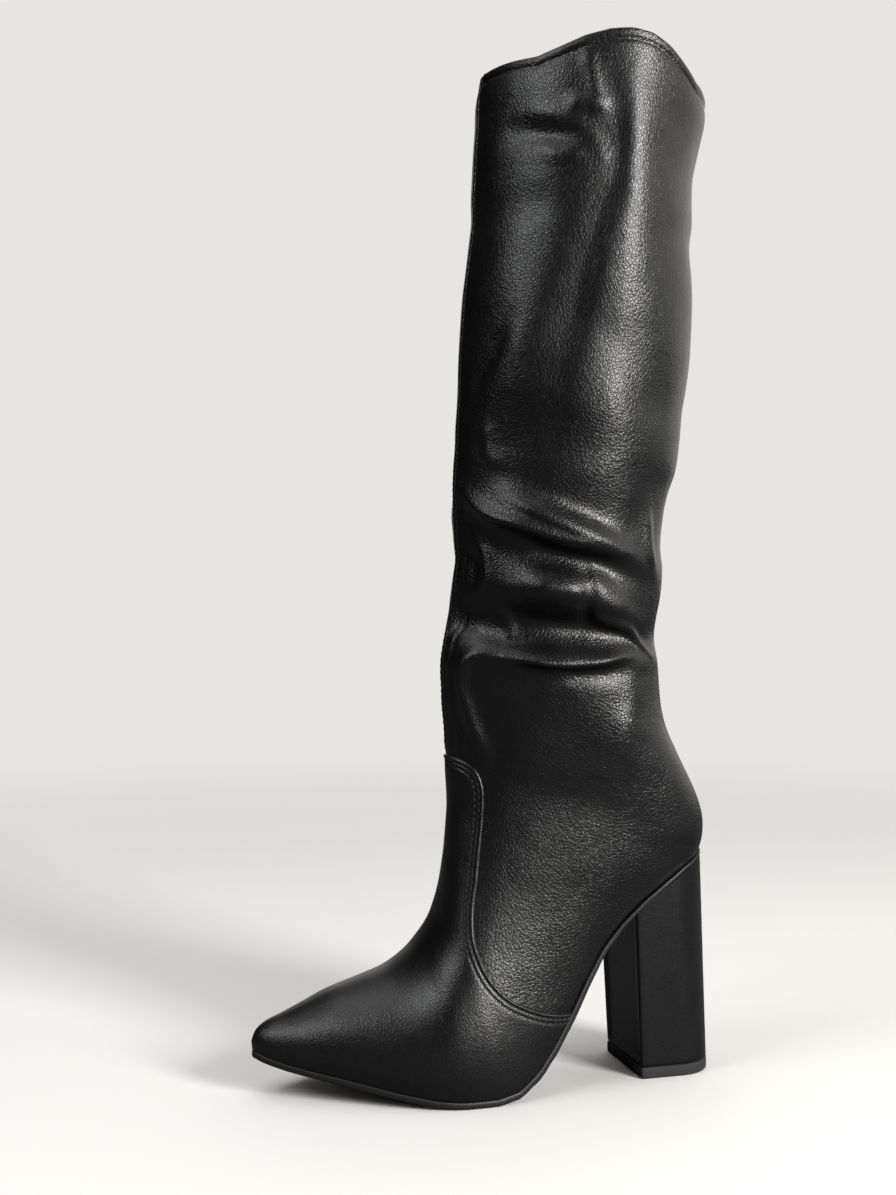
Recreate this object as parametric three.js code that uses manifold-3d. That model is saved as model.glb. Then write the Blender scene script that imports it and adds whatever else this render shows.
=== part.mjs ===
import * as THREE from 'three';
import { mergeVertices } from 'three/addons/utils/BufferGeometryUtils.js';
import Module from 'manifold-3d';

// Knee-high boot, left foot, with a pointed toe and a tall block heel.
// Millimetres. Built with a pointing from the heel to the toe, b to the outer side and z up,
// then turned so that the toe points along -Y and the outer side along +X.

// Driving sizes
const WALL = 1.8;
const SEAM_GAP = 0.3;
const VAMP_THICKNESS = 1.0;
const SOLE_THICKNESS = 3.2;
const SEAT_THICKNESS = 2.2;
const SOLE_MARGIN = 1.5;
const SEAT_MARGIN = 0.7;
const MARGIN_START = 46;
const MARGIN_FULL = 76;
const INSOLE_THICKNESS = 2.0;
const INSOLE_INSET = 3.0;
const INSOLE_TIP = 212;
const INSOLE_TIP_LENGTH = 14;
const INSOLE_TAPER = 0.5;
const TOP_PIECE_HEIGHT = 5.4;
const TOP_PIECE_BEVEL = 0.5;
const HEEL_BASE = { back: 0, length: 40.2, half: 22.6, round: 20, power: 2.3 };
const HEEL_SEAT = { back: 2.6, length: 41.2, half: 24.4, round: 24, power: 2.0 };
const BREAST_LIP = 1.8;
const BREAST_DEPTH = 1.0;
const COLLAR_LEVEL = 480;
const COLLAR_BLEND = 80;
const SIDE_STEPS = 15;
const HEEL_LEVELS = 4;
const HEEL_ROUND_STEPS = 12;
const SKIRT = 4;
const LOW_STEP = 0.08;
const SLOPE_STEP = 3;
const MID_LENGTH = 110;
const VAMP_CUT = { toe: 260, under: -30, half: 90 };
const BREAST_CUT = { low: -10, high: 120, length: 30 };

// Edge of the sole from top to bottom: inset, share of its height
const SOLE_EDGE = [[0.3, 0], [0, 0.1], [0, 0.85], [0.5, 1]];

// Top face of the sole, on which the upper stands: a, z, half width outside, half width inside
const SOLE_ROWS = [
  [220.5, 21.0, -5.0, 5.0],
  [219.8, 20.7, -2.2, 7.9],
  [217.6, 20.0, 0.4, 10.6],
  [213.5, 18.7, 3.4, 13.6],
  [207.0, 17.0, 7.4, 17.6],
  [198.0, 15.2, 12.8, 22.6],
  [186.0, 13.0, 19.2, 28.6],
  [172.0, 10.0, 26.0, 34.6],
  [158.0, 6.9, 31.9, 38.8],
  [145.0, 4.4, 36.4, 40.9],
  [133.0, 3.2, 38.7, 39.8],
  [117.0, 3.2, 38.6, 36.4],
  [106.0, 5.2, 36.5, 31.9],
  [96.0, 12.6, 34.1, 28.2],
  [87.0, 23.4, 31.3, 25.2],
  [78.0, 37.0, 28.6, 23.1],
  [69.5, 51.8, 26.6, 22.3],
  [61.0, 64.9, 25.3, 22.6],
  [51.0, 76.0, 24.9, 23.6],
  [40.0, 85.8, 24.8, 24.4],
  [29.0, 93.8, 24.4, 24.3],
  [19.0, 100.2, 22.5, 22.5],
  [11.0, 104.1, 18.2, 18.2],
  [6.4, 106.0, 12.2, 12.2],
  [4.1, 106.8, 5.8, 5.8],
  [3.7, 107.0, 0.0, 0.0],
];

// Sections that stand on the sole, one for each row above:
// front a, front z, half width outside, half width inside, place of the widest point,
// sharpness of the front and of the back
const FOOT_ROWS = [
  [221.0, 25.3, -5.0, 5.0, 0.5, 1, 1],
  [219.4, 29.0, -1.6, 8.5, 0.6, 1, 1],
  [216.9, 31.3, 1.6, 11.8, 0.66, 1, 1],
  [212.9, 33.5, 5.0, 15.2, 0.7, 1, 1],
  [206.9, 35.7, 9.2, 19.4, 0.72, 1, 1],
  [197.8, 39.6, 14.8, 24.6, 0.74, 1, 1],
  [185.2, 45.2, 21.4, 30.8, 0.75, 1, 1],
  [170.3, 50.0, 28.4, 37.0, 0.76, 1, 1],
  [157.0, 54.9, 34.4, 41.3, 0.76, 1, 1],
  [146.5, 62.4, 39.0, 43.4, 0.76, 1, 1],
  [140.0, 70.9, 41.4, 42.6, 0.75, 1, 1],
  [136.1, 79.3, 41.4, 39.8, 0.74, 1, 1],
  [134.0, 87.6, 39.6, 36.0, 0.73, 1, 1],
  [132.6, 95.4, 37.4, 32.6, 0.72, 1, 1],
  [131.6, 102.9, 35.2, 30.2, 0.72, 1, 1],
  [130.6, 110.4, 33.2, 28.9, 0.71, 1, 1],
  [129.9, 117.6, 31.8, 28.6, 0.7, 1, 1],
  [129.2, 124.6, 31.0, 28.9, 0.69, 1, 1],
  [128.7, 131.4, 30.7, 29.4, 0.68, 1, 1],
  [128.8, 137.8, 30.7, 29.8, 0.67, 1, 1],
  [129.2, 143.4, 30.8, 30.2, 0.66, 1, 0.97],
  [129.5, 148.4, 30.9, 30.5, 0.65, 1, 0.94],
  [129.7, 153.0, 31.0, 30.7, 0.645, 1, 0.91],
  [130.1, 157.2, 31.1, 30.8, 0.64, 1, 0.88],
  [130.5, 161.0, 31.2, 30.9, 0.635, 1, 0.86],
  [130.5, 164.4, 31.3, 31.0, 0.63, 1, 0.85],
];

// Sections of the leg, closed at the back seam:
// front a, front z, back a, back z, half width outside, half width inside, widest point,
// sharpness of the front and of the back
const LEG_ROWS = [
  [130.6, 167.6, 3.2, 108.4, 31.5, 31.2, 0.63, 1, 0.85],
  [130.9, 171.2, 2.5, 111.2, 31.8, 31.5, 0.625, 1, 0.85],
  [131.3, 175.4, 2.0, 116.2, 32.2, 31.9, 0.62, 1, 0.86],
  [131.7, 180.4, 2.6, 123.2, 32.8, 32.5, 0.61, 1, 0.87],
  [131.9, 186.4, 5.4, 132.6, 33.7, 33.3, 0.6, 1, 0.89],
  [132.3, 193.2, 9.9, 142.6, 34.8, 34.3, 0.58, 1, 0.91],
  [132.1, 200.6, 15.2, 152.8, 36.0, 35.4, 0.56, 1, 0.93],
  [130.9, 208.0, 20.2, 163.2, 37.3, 36.6, 0.54, 1, 0.95],
  [129.3, 215.6, 23.6, 173.8, 38.6, 37.8, 0.53, 1, 0.96],
  [127.6, 223.4, 25.1, 184.6, 39.9, 39.0, 0.52, 1, 0.97],
  [126.7, 231.4, 25.9, 195.6, 41.0, 40.1, 0.51, 1, 0.98],
  [125.8, 239.6, 27.4, 206.8, 42.1, 41.1, 0.51, 1, 1],
  [124.8, 248.0, 26.9, 218.2, 43.2, 42.1, 0.51, 1.01, 1.01],
  [125.3, 256.6, 24.8, 229.8, 44.3, 43.1, 0.51, 1.02, 1.02],
  [125.5, 265.2, 24.0, 241.4, 45.4, 44.2, 0.51, 1.03, 1.03],
  [125.4, 273.6, 24.8, 253.0, 46.6, 45.4, 0.51, 1.04, 1.04],
  [125.9, 283.0, 24.0, 265.2, 47.8, 46.6, 0.51, 1.05, 1.05],
  [125.8, 292.6, 21.6, 277.6, 49.0, 47.8, 0.51, 1.06, 1.06],
  [125.1, 302.4, 17.0, 290.2, 50.2, 49.0, 0.51, 1.07, 1.07],
  [124.8, 312.6, 15.0, 303.2, 51.4, 50.2, 0.51, 1.08, 1.08],
  [124.2, 323.4, 14.0, 316.6, 52.4, 51.2, 0.51, 1.09, 1.09],
  [123.8, 334.6, 11.6, 330.4, 53.2, 52.0, 0.51, 1.1, 1.1],
  [123.3, 346.4, 9.8, 344.2, 53.9, 52.6, 0.51, 1.1, 1.1],
  [122.4, 358.4, 9.2, 357.6, 54.6, 53.2, 0.51, 1.1, 1.1],
  [121.5, 370.6, 8.8, 370.6, 55.1, 53.6, 0.51, 1.1, 1.1],
  [120.1, 383.0, 9.4, 383.0, 55.6, 54.2, 0.51, 1.1, 1.1],
  [118.3, 395.4, 10.6, 395.4, 56.0, 54.6, 0.51, 1.1, 1.1],
  [116.7, 407.8, 9.6, 407.8, 56.4, 55.0, 0.51, 1.1, 1.1],
  [116.8, 420.2, 9.8, 420.2, 56.8, 55.4, 0.51, 1.1, 1.1],
  [116.2, 432.6, 9.5, 432.6, 57.1, 55.8, 0.51, 1.1, 1.1],
  [115.6, 445.0, 7.8, 445.0, 57.4, 56.2, 0.51, 1.1, 1.1],
  [114.9, 457.0, 5.4, 457.0, 57.7, 56.6, 0.51, 1.1, 1.1],
  [114.4, 468.5, 3.0, 468.5, 58.0, 57.0, 0.51, 1.1, 1.1],
  [112.1, 480.0, 3.2, 480.0, 58.2, 57.2, 0.51, 1.1, 1.1],
];

// Height of the collar's edge along the boot: a, z
const COLLAR = [
  [0, 468.8], [12, 466.5], [22, 468.0], [30, 472.6], [40, 478.8], [50, 482.7],
  [60, 484.0], [70, 483.5], [80, 481.3], [90, 477.6], [98, 475.0], [114, 476.8],
];

// Slouch folds of the leg: side (1 outer, -1 inner), place round the leg, z,
// half length round, half width, rise along the fold, height out of the surface
const FOLDS = [
  [1, 0.34, 262, 0.30, 7, -52, 3.4],
  [1, 0.42, 246, 0.22, 7, -30, -3.6],
  [1, 0.40, 232, 0.14, 8, -6, 3.0],
  [1, 0.44, 216, 0.30, 8, -16, -5.2],
  [1, 0.60, 222, 0.14, 6, -50, 2.6],
  [1, 0.42, 202, 0.30, 6, 2, 3.0],
  [1, 0.16, 190, 0.07, 16, 0, 1.6],
  [1, 0.36, 300, 0.16, 16, -40, -2.0],
  [1, 0.24, 345, 0.10, 40, -220, 1.6],
  [1, 0.28, 438, 0.14, 6, -20, -1.8],
  [-1, 0.36, 256, 0.28, 8, -44, 3.0],
  [-1, 0.46, 238, 0.24, 8, -20, -4.0],
  [-1, 0.50, 220, 0.26, 8, -14, 3.0],
  [-1, 0.46, 204, 0.28, 7, 4, -3.2],
  [-1, 0.40, 310, 0.18, 16, -50, -2.0],
];

// Seam where the vamp and its tongue lie over the leg, seen from the side: a, z
const VAMP_SEAM = [
  [134.0, 156.4], [129.0, 155.5], [124.3, 153.4], [120.6, 149.8], [118.2, 144.9], [117.1, 138.6],
  [117.1, 132.4], [117.6, 126.0], [118.7, 117.4], [120.2, 106.6], [121.3, 99.5], [123.1, 90.2],
  [124.3, 81.6], [124.5, 73.6], [123.1, 65.9], [120.4, 59.0], [116.0, 52.7], [109.6, 46.9],
  [101.6, 42.6], [94.0, 39.8], [86.1, 37.8], [74.0, 36.0],
];

// Small tools
const wasm = await Module();
wasm.setup();

function clamp(value, low, high) {
  return Math.min(Math.max(value, low), high);
}

function soften(x) {
  const k = clamp(x, 0, 1);
  return k * k * (3 - 2 * k);
}

function alongTable(rows, x, column) {
  const rising = rows[1][0] > rows[0][0];
  const list = rising ? rows : [...rows].reverse();
  let k = 1;
  while (k < list.length - 1 && list[k][0] < x) k += 1;
  const f = (x - list[k - 1][0]) / (list[k][0] - list[k - 1][0]);
  return list[k - 1][column] + (list[k][column] - list[k - 1][column]) * f;
}

// A row between two rows; before the first row the named columns run on and the rest turns back
function smoothRow(rows, s, runningOn) {
  const last = rows.length - 1;
  const i = Math.min(Math.floor(clamp(s, 0, last)), last - 1);
  const f = clamp(s, 0, last) - i;
  const p1 = rows[i];
  const p2 = rows[i + 1];
  return p1.map((value, c) => {
    const first = !runningOn || runningOn.includes(c) ? 2 * value - p2[c] : p2[c];
    const before = i > 0 ? rows[i - 1][c] : first;
    const after = i + 2 <= last ? rows[i + 2][c] : 2 * p2[c] - value;
    const square = 2 * before - 5 * value + 4 * p2[c] - after;
    const cube = 3 * value - before - 3 * p2[c] + after;
    return 0.5 * (2 * value + (p2[c] - before) * f + square * f * f + cube * f * f * f);
  });
}

function toManifold(geometry) {
  const plain = geometry.clone();
  plain.deleteAttribute('normal');
  plain.deleteAttribute('uv');
  const merged = mergeVertices(plain, 1e-4);
  const mesh = new wasm.Mesh({
    numProp: 3,
    vertProperties: new Float32Array(merged.attributes.position.array),
    triVerts: new Uint32Array(merged.index.array),
  });
  return new wasm.Manifold(mesh);
}

function fromManifold(solid) {
  const mesh = solid.getMesh();
  const geometry = new THREE.BufferGeometry();
  geometry.setAttribute('position', new THREE.BufferAttribute(new Float32Array(mesh.vertProperties), 3));
  geometry.setIndex(new THREE.BufferAttribute(new Uint32Array(mesh.triVerts), 1));
  return geometry;
}

function signedVolume(points, faces) {
  let total = 0;
  for (const [i, j, k] of faces) {
    total += points[i].clone().cross(points[j]).dot(points[k]);
  }
  return total / 6;
}

function closedGeometry(points, faces) {
  const turned = signedVolume(points, faces) < 0 ? faces.map(([i, j, k]) => [i, k, j]) : faces;
  const geometry = new THREE.BufferGeometry();
  geometry.setAttribute('position', new THREE.Float32BufferAttribute(points.flatMap((p) => p.toArray()), 3));
  geometry.setIndex(turned.flat());
  return geometry;
}

function addQuad(faces, a, b, c, d) {
  if (a !== b && b !== c && c !== a) faces.push([a, b, c]);
  if (a !== c && c !== d && d !== a) faces.push([a, c, d]);
}

// The upper's own surface
const SECTIONS = [
  ...SOLE_ROWS.map((sole, i) => [...FOOT_ROWS[i].slice(0, 2), ...sole, ...FOOT_ROWS[i].slice(2)]),
  ...LEG_ROWS.map((leg) => [...leg.slice(0, 4), 0, 0, ...leg.slice(4)]),
];
const LAST_FOOT = SOLE_ROWS.length - 1;
const LAST_ROW = SECTIONS.length - 1;
const WIDTH_COLUMNS = [4, 5, 6, 7];

function upperPoint(s, w) {
  const row = smoothRow(SECTIONS, s, WIDTH_COLUMNS);
  const [frontA, frontZ, lowA, lowZ, lowOut, lowIn, wideOut, wideIn, widest, frontEdge, backEdge] = row;
  const middle = s <= LAST_FOOT ? (lowOut - lowIn) / 2 : 0;
  const halfLow = s <= LAST_FOOT ? Math.max((lowOut + lowIn) / 2, 0) : 0;
  const side = w >= 0 ? 1 : -1;
  const halfWide = Math.max(side > 0 ? wideOut - middle : wideIn + middle, halfLow + 1e-6);
  const ratio = clamp(halfLow / halfWide, 0, 0.995);
  const end = Math.PI - Math.asin(ratio ** (1 / backEdge));
  const angle = Math.abs(w) * end;
  const front = angle <= Math.PI / 2;
  const edge = front ? frontEdge : backEdge;
  const cosine = Math.abs(Math.cos(angle)) ** edge;
  const lowCosine = Math.max(Math.abs(Math.cos(end)) ** backEdge, 1e-9);
  const along = front ? widest * (1 - cosine) : widest + ((1 - widest) * cosine) / lowCosine;
  const out = halfWide * Math.abs(Math.sin(angle)) ** edge;
  const a = frontA + (lowA - frontA) * along;
  let z = frontZ + (lowZ - frontZ) * along;
  z += soften((z - COLLAR_LEVEL + COLLAR_BLEND) / COLLAR_BLEND) * (alongTable(COLLAR, a, 1) - COLLAR_LEVEL);
  return new THREE.Vector3(a, middle + side * out, z);
}

function foldHeight(w, z) {
  let total = 0;
  for (const [side, place, level, halfLength, halfWidth, rise, height] of FOLDS) {
    if (side * w < 0) continue;
    const round = Math.abs(w) - place;
    const across = (z - level - rise * round) / halfWidth;
    total += height * Math.exp(-((round / halfLength) ** 2) - across * across);
  }
  return total;
}

// Grid of the surface: the halves share the toe's first row, and the back seam above the seat
const COLUMNS = 2 * SIDE_STEPS + 1;
const ROWS = LAST_ROW + 1;

function gridIndex(row, column) {
  if (row === 0 && column < SIDE_STEPS) return gridIndex(0, COLUMNS - 1 - column);
  if (row >= LAST_FOOT && column === 0) return gridIndex(row, COLUMNS - 1);
  return row * COLUMNS + column;
}

function gridFaces(points) {
  const faces = [];
  for (let row = 0; row < ROWS - 1; row += 1) {
    for (let column = 0; column < COLUMNS - 1; column += 1) {
      const corners = [gridIndex(row, column), gridIndex(row, column + 1),
        gridIndex(row + 1, column + 1), gridIndex(row + 1, column)];
      const [a, b, c, d] = corners.map((i) => points[i]);
      if (a.distanceTo(c) > b.distanceTo(d)) corners.push(corners.shift());
      addQuad(faces, ...corners);
    }
  }
  return faces;
}

function gridNormals(points) {
  const normals = points.map(() => new THREE.Vector3());
  for (const [i, j, k] of GRID_FACES) {
    const face = points[j].clone().sub(points[i]).cross(points[k].clone().sub(points[i]));
    normals[i].add(face);
    normals[j].add(face);
    normals[k].add(face);
  }
  return normals.map((n) => n.normalize());
}

function baseGrid() {
  const points = [];
  for (let row = 0; row < ROWS; row += 1) {
    for (let column = 0; column < COLUMNS; column += 1) {
      points.push(upperPoint(row, (column - SIDE_STEPS) / SIDE_STEPS));
    }
  }
  return points;
}

function outwardSign(normals) {
  const front = gridIndex(ROWS - 1, SIDE_STEPS);
  return normals[front].x > 0 ? 1 : -1;
}

const PLAIN_GRID = baseGrid();
const GRID_FACES = gridFaces(PLAIN_GRID);
const PLAIN_NORMALS = gridNormals(PLAIN_GRID);
const OUTWARD = outwardSign(PLAIN_NORMALS);
const FOLDED_GRID = PLAIN_GRID.map((point, i) => {
  const w = ((i % COLUMNS) - SIDE_STEPS) / SIDE_STEPS;
  return point.clone().addScaledVector(PLAIN_NORMALS[i], OUTWARD * foldHeight(w, point.z));
});
const FOLDED_NORMALS = gridNormals(FOLDED_GRID);

// The edge that stands on the sole, as a closed loop of rows and sides
const FEATHER = [];
for (let row = 0; row <= LAST_FOOT; row += 1) FEATHER.push({ row, side: 1 });
for (let row = LAST_FOOT - 1; row >= 1; row -= 1) FEATHER.push({ row, side: -1 });

function soleTop(a) {
  return alongTable(SOLE_ROWS, a, 1);
}

function soleSlope(a) {
  return (soleTop(a + SLOPE_STEP) - soleTop(a - SLOPE_STEP)) / (2 * SLOPE_STEP);
}

function featherPoint({ row, side }) {
  const [a, z, out, inside] = SOLE_ROWS[row];
  return new THREE.Vector3(a, side > 0 ? out : -inside, z);
}

// A point beside the feather edge, moved outwards along the sole's face and lifted off it
function besideFeather(k, outwards, lift) {
  const count = FEATHER.length;
  const here = featherPoint(FEATHER[k]);
  const ahead = featherPoint(FEATHER[(k + 1) % count]);
  const behind = featherPoint(FEATHER[(k + count - 1) % count]);
  const up = new THREE.Vector3(-soleSlope(here.x), 0, 1).normalize();
  const out = ahead.sub(behind).normalize().cross(up).normalize();
  if (out.dot(here.clone().sub(new THREE.Vector3(MID_LENGTH, 0, here.z))) < 0) out.negate();
  const moved = here.addScaledVector(out, outwards);
  moved.z = soleTop(moved.x);
  return moved.addScaledVector(up, lift);
}

function featherIndex({ row, side }) {
  return gridIndex(row, side > 0 ? COLUMNS - 1 : 0);
}

// The surface moved outwards by a distance, with its lower edge kept on the sole
function movedGrid(distance) {
  const points = FOLDED_GRID.map((p, i) => p.clone().addScaledVector(FOLDED_NORMALS[i], OUTWARD * distance));
  for (let i = 0; i < COLUMNS * (LAST_FOOT + 1); i += 1) {
    const stepsUp = SIDE_STEPS - Math.abs((i % COLUMNS) - SIDE_STEPS);
    points[i].z = Math.max(points[i].z, soleTop(points[i].x) + SEAM_GAP + stepsUp * LOW_STEP);
  }
  FEATHER.forEach((place, k) => {
    points[featherIndex(place)] = besideFeather(k, distance, SEAM_GAP);
  });
  return points;
}

// One hollow shell between the outer surface and its inner offset
function shellGeometry(thickness) {
  const outer = movedGrid(0);
  const inner = movedGrid(-thickness);
  const shift = outer.length;
  const faces = [...GRID_FACES];
  for (const [i, j, k] of GRID_FACES) faces.push([i + shift, k + shift, j + shift]);
  const bottom = FEATHER.map(featherIndex);
  const top = [];
  for (let column = 0; column < COLUMNS - 1; column += 1) top.push(gridIndex(ROWS - 1, column));
  for (let k = 0; k < bottom.length; k += 1) {
    const next = bottom[(k + 1) % bottom.length];
    addQuad(faces, bottom[k], next, next + shift, bottom[k] + shift);
  }
  for (let k = 0; k < top.length; k += 1) {
    const next = top[(k + 1) % top.length];
    addQuad(faces, next, top[k], top[k] + shift, next + shift);
  }
  return consistent([...outer, ...inner], faces);
}

// A closed body inside the surface moved by a distance, with a skirt below the sole's face
function bodyGeometry(distance, skirt) {
  const points = movedGrid(distance);
  const faces = [...GRID_FACES];
  let ring = FEATHER.map(featherIndex);
  if (skirt > 0) {
    const low = FEATHER.map((place, k) => points.push(besideFeather(k, distance, SEAM_GAP - skirt)) - 1);
    for (let k = 0; k < ring.length; k += 1) {
      const n = (k + 1) % ring.length;
      addQuad(faces, ring[k], ring[n], low[n], low[k]);
    }
    ring = low;
  }
  for (let k = 0; k < LAST_FOOT; k += 1) {
    const left = (ring.length - k) % ring.length;
    const nextLeft = (ring.length - k - 1) % ring.length;
    addQuad(faces, ring[k], ring[k + 1], ring[nextLeft], ring[left]);
  }
  const top = [];
  for (let column = 0; column < COLUMNS - 1; column += 1) top.push(gridIndex(ROWS - 1, column));
  const centre = new THREE.Vector3();
  top.forEach((i) => centre.addScaledVector(points[i], 1 / top.length));
  const middle = points.push(centre) - 1;
  for (let k = 0; k < top.length; k += 1) faces.push([top[(k + 1) % top.length], top[k], middle]);
  return consistent(points, faces);
}

// Drops unused points and turns every face the same way as its neighbours
function consistent(points, faces) {
  const used = new Map();
  const kept = [];
  for (const face of faces) {
    for (const i of face) {
      if (!used.has(i)) used.set(i, kept.push(points[i]) - 1);
    }
  }
  const list = faces.map((face) => face.map((i) => used.get(i)));
  const byEdge = new Map();
  const key = (i, j) => `${Math.min(i, j)} ${Math.max(i, j)}`;
  list.forEach((face, f) => {
    for (let e = 0; e < 3; e += 1) {
      const name = key(face[e], face[(e + 1) % 3]);
      if (!byEdge.has(name)) byEdge.set(name, []);
      byEdge.get(name).push(f);
    }
  });
  const done = new Set([0]);
  const queue = [0];
  while (queue.length > 0) {
    const face = list[queue.pop()];
    for (let e = 0; e < 3; e += 1) {
      const from = face[e];
      const to = face[(e + 1) % 3];
      for (const other of byEdge.get(key(from, to))) {
        if (done.has(other)) continue;
        const near = list[other];
        const same = near.some((value, n) => value === from && near[(n + 1) % 3] === to);
        if (same) near.reverse();
        done.add(other);
        queue.push(other);
      }
    }
  }
  return closedGeometry(kept, list);
}

// A prism across the boot, from its outline seen from the side
function sidePrism(outline, halfWidth) {
  const flat = outline.map(([a, z]) => new THREE.Vector2(a, z));
  const triangles = THREE.ShapeUtils.triangulateShape(flat, []);
  const points = [];
  for (const b of [-halfWidth, halfWidth]) outline.forEach(([a, z]) => points.push(new THREE.Vector3(a, b, z)));
  const n = outline.length;
  const faces = [];
  for (const [i, j, k] of triangles) faces.push([i, j, k], [i + n, k + n, j + n]);
  for (let k = 0; k < n; k += 1) {
    const next = (k + 1) % n;
    addQuad(faces, k, next, next + n, k + n);
  }
  return consistent(points, faces);
}

// Pieces
function makeUpper() {
  return shellGeometry(WALL);
}

function makeVamp() {
  const outside = toManifold(bodyGeometry(SEAM_GAP + VAMP_THICKNESS, 0));
  const inside = toManifold(bodyGeometry(SEAM_GAP, SKIRT));
  const seam = smoothOutline(VAMP_SEAM, 3);
  const { toe, under, half } = VAMP_CUT;
  const corners = [[seam[seam.length - 1][0], under], [toe, under], [toe, seam[0][1]]];
  const region = toManifold(sidePrism([...seam, ...corners], half));
  return fromManifold(outside.subtract(inside).intersect(region));
}

function smoothOutline(rows, steps) {
  const line = [];
  for (let k = 0; k < (rows.length - 1) * steps; k += 1) line.push(smoothRow(rows, k / steps));
  line.push(rows[rows.length - 1]);
  return line;
}

function soleMargin(a) {
  const grow = soften((a - MARGIN_START) / (MARGIN_FULL - MARGIN_START));
  return SEAT_MARGIN + (SOLE_MARGIN - SEAT_MARGIN) * grow;
}

function soleUnder(a) {
  const grow = soften((a - MARGIN_START) / (MARGIN_FULL - MARGIN_START));
  const thickness = SEAT_THICKNESS + (SOLE_THICKNESS - SEAT_THICKNESS) * grow;
  return Math.max(soleTop(a) - thickness * Math.hypot(1, soleSlope(a)), 0);
}

// A sheet along the sole from loops of points, capped across at both ends
function loopsGeometry(loops) {
  const n = loops[0].length;
  const points = loops.flat();
  const faces = [];
  for (let level = 0; level < loops.length - 1; level += 1) {
    for (let k = 0; k < n; k += 1) {
      const next = (k + 1) % n;
      addQuad(faces, level * n + k, level * n + next, (level + 1) * n + next, (level + 1) * n + k);
    }
  }
  for (const start of [0, (loops.length - 1) * n]) {
    for (let k = 0; k < Math.floor(n / 2); k += 1) {
      const left = (n - k) % n;
      const nextLeft = (n - k - 1) % n;
      addQuad(faces, start + k, start + k + 1, start + nextLeft, start + left);
    }
  }
  return consistent(points, faces);
}

function soleLoop(inset, height) {
  return FEATHER.map((place, k) => {
    const margin = soleMargin(SOLE_ROWS[place.row][0]);
    const p = besideFeather(k, margin - inset, 0);
    const top = soleTop(p.x);
    p.z = top + (soleUnder(p.x) - top) * height;
    return p;
  });
}

function makeOutsole() {
  return loopsGeometry(SOLE_EDGE.map(([inset, height]) => soleLoop(inset, height)));
}

// The insole follows the sole's outline and ends in a rounded tip of its own
function insolePoint({ row, side }, k, lift) {
  const start = INSOLE_TIP - INSOLE_TIP_LENGTH;
  const rowA = SOLE_ROWS[row][0];
  if (rowA <= start) return besideFeather(k, -INSOLE_INSET, lift);
  const turn = ((rowA - start) / (SOLE_ROWS[0][0] - start)) * (Math.PI / 2);
  const a = start + INSOLE_TIP_LENGTH * Math.sin(turn);
  const [, , out, inside] = SOLE_ROWS.find(([place]) => place <= start);
  const wide = (side > 0 ? out - middleAt(start) : inside + middleAt(start)) - INSOLE_INSET;
  const b = row === 0 ? middleAt(SOLE_ROWS[0][0])
    : middleAt(a) + side * wide * Math.cos(turn) * (1 - INSOLE_TAPER * Math.sin(turn));
  return new THREE.Vector3(a, b, soleTop(a) + lift * Math.hypot(1, soleSlope(a)));
}

function makeInsole() {
  const loop = (lift) => FEATHER.map((place, k) => insolePoint(place, k, lift));
  return loopsGeometry([loop(SEAM_GAP), loop(SEAM_GAP + INSOLE_THICKNESS)]);
}

function middleAt(a) {
  return (alongTable(SOLE_ROWS, a, 2) - alongTable(SOLE_ROWS, a, 3)) / 2;
}

// Half outline of the heel from the back's middle to the breast, as pairs of a and b
function heelHalf({ back, length, half, round, power }, inset) {
  const pairs = [];
  for (let k = 0; k <= HEEL_ROUND_STEPS; k += 1) {
    const turn = (k / HEEL_ROUND_STEPS) * (Math.PI / 2);
    const along = round - (round - inset) * Math.cos(turn) ** (2 / power);
    pairs.push([back + along, (half - inset) * Math.sin(turn) ** (2 / power)]);
  }
  for (const part of [0.5, 1]) pairs.push([back + round + (length - inset - round) * part, half - inset]);
  return pairs;
}

function heelLoop(pairs, heights) {
  const outer = pairs.map(([a, b], k) => new THREE.Vector3(a, b, heights[k]));
  const inner = pairs.slice(1).map(([a, b], k) => new THREE.Vector3(a, -b, heights[k + 1])).reverse();
  return [...outer, ...inner];
}

function heelPairsAt(part) {
  const base = heelHalf(HEEL_BASE, 0);
  const seat = heelHalf(HEEL_SEAT, 0);
  return base.map(([a, b], k) => [a + (seat[k][0] - a) * part, b + (seat[k][1] - b) * part]);
}

function makeHeel() {
  const seat = heelPairsAt(1);
  const loops = [];
  for (let level = 0; level <= HEEL_LEVELS; level += 1) {
    const part = level / HEEL_LEVELS;
    const bottom = TOP_PIECE_HEIGHT + SEAM_GAP;
    const heights = seat.map(([a]) => bottom + (soleUnder(a) - SEAM_GAP - bottom) * part);
    loops.push(heelLoop(heelPairsAt(part), heights));
  }
  const block = toManifold(loopsGeometry(loops));
  const lowFront = HEEL_BASE.back + HEEL_BASE.length;
  const highFront = HEEL_SEAT.back + HEEL_SEAT.length;
  const topZ = soleUnder(highFront);
  const lean = (highFront - lowFront) / topZ;
  const front = (z) => lowFront + lean * z - BREAST_DEPTH;
  const { low, high, length } = BREAST_CUT;
  const outline = [[front(low), low], [front(low) + length, low], [front(high) + length, high], [front(high), high]];
  const recess = toManifold(sidePrism(outline, HEEL_BASE.half - BREAST_LIP));
  return fromManifold(block.subtract(recess));
}

function makeTopPiece() {
  const levels = [[0, TOP_PIECE_BEVEL], [TOP_PIECE_BEVEL, 0], [TOP_PIECE_HEIGHT, 0]];
  const loops = levels.map(([z, inset]) => {
    const pairs = heelHalf(HEEL_BASE, inset);
    return heelLoop(pairs, pairs.map(() => z));
  });
  return loopsGeometry(loops);
}

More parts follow.
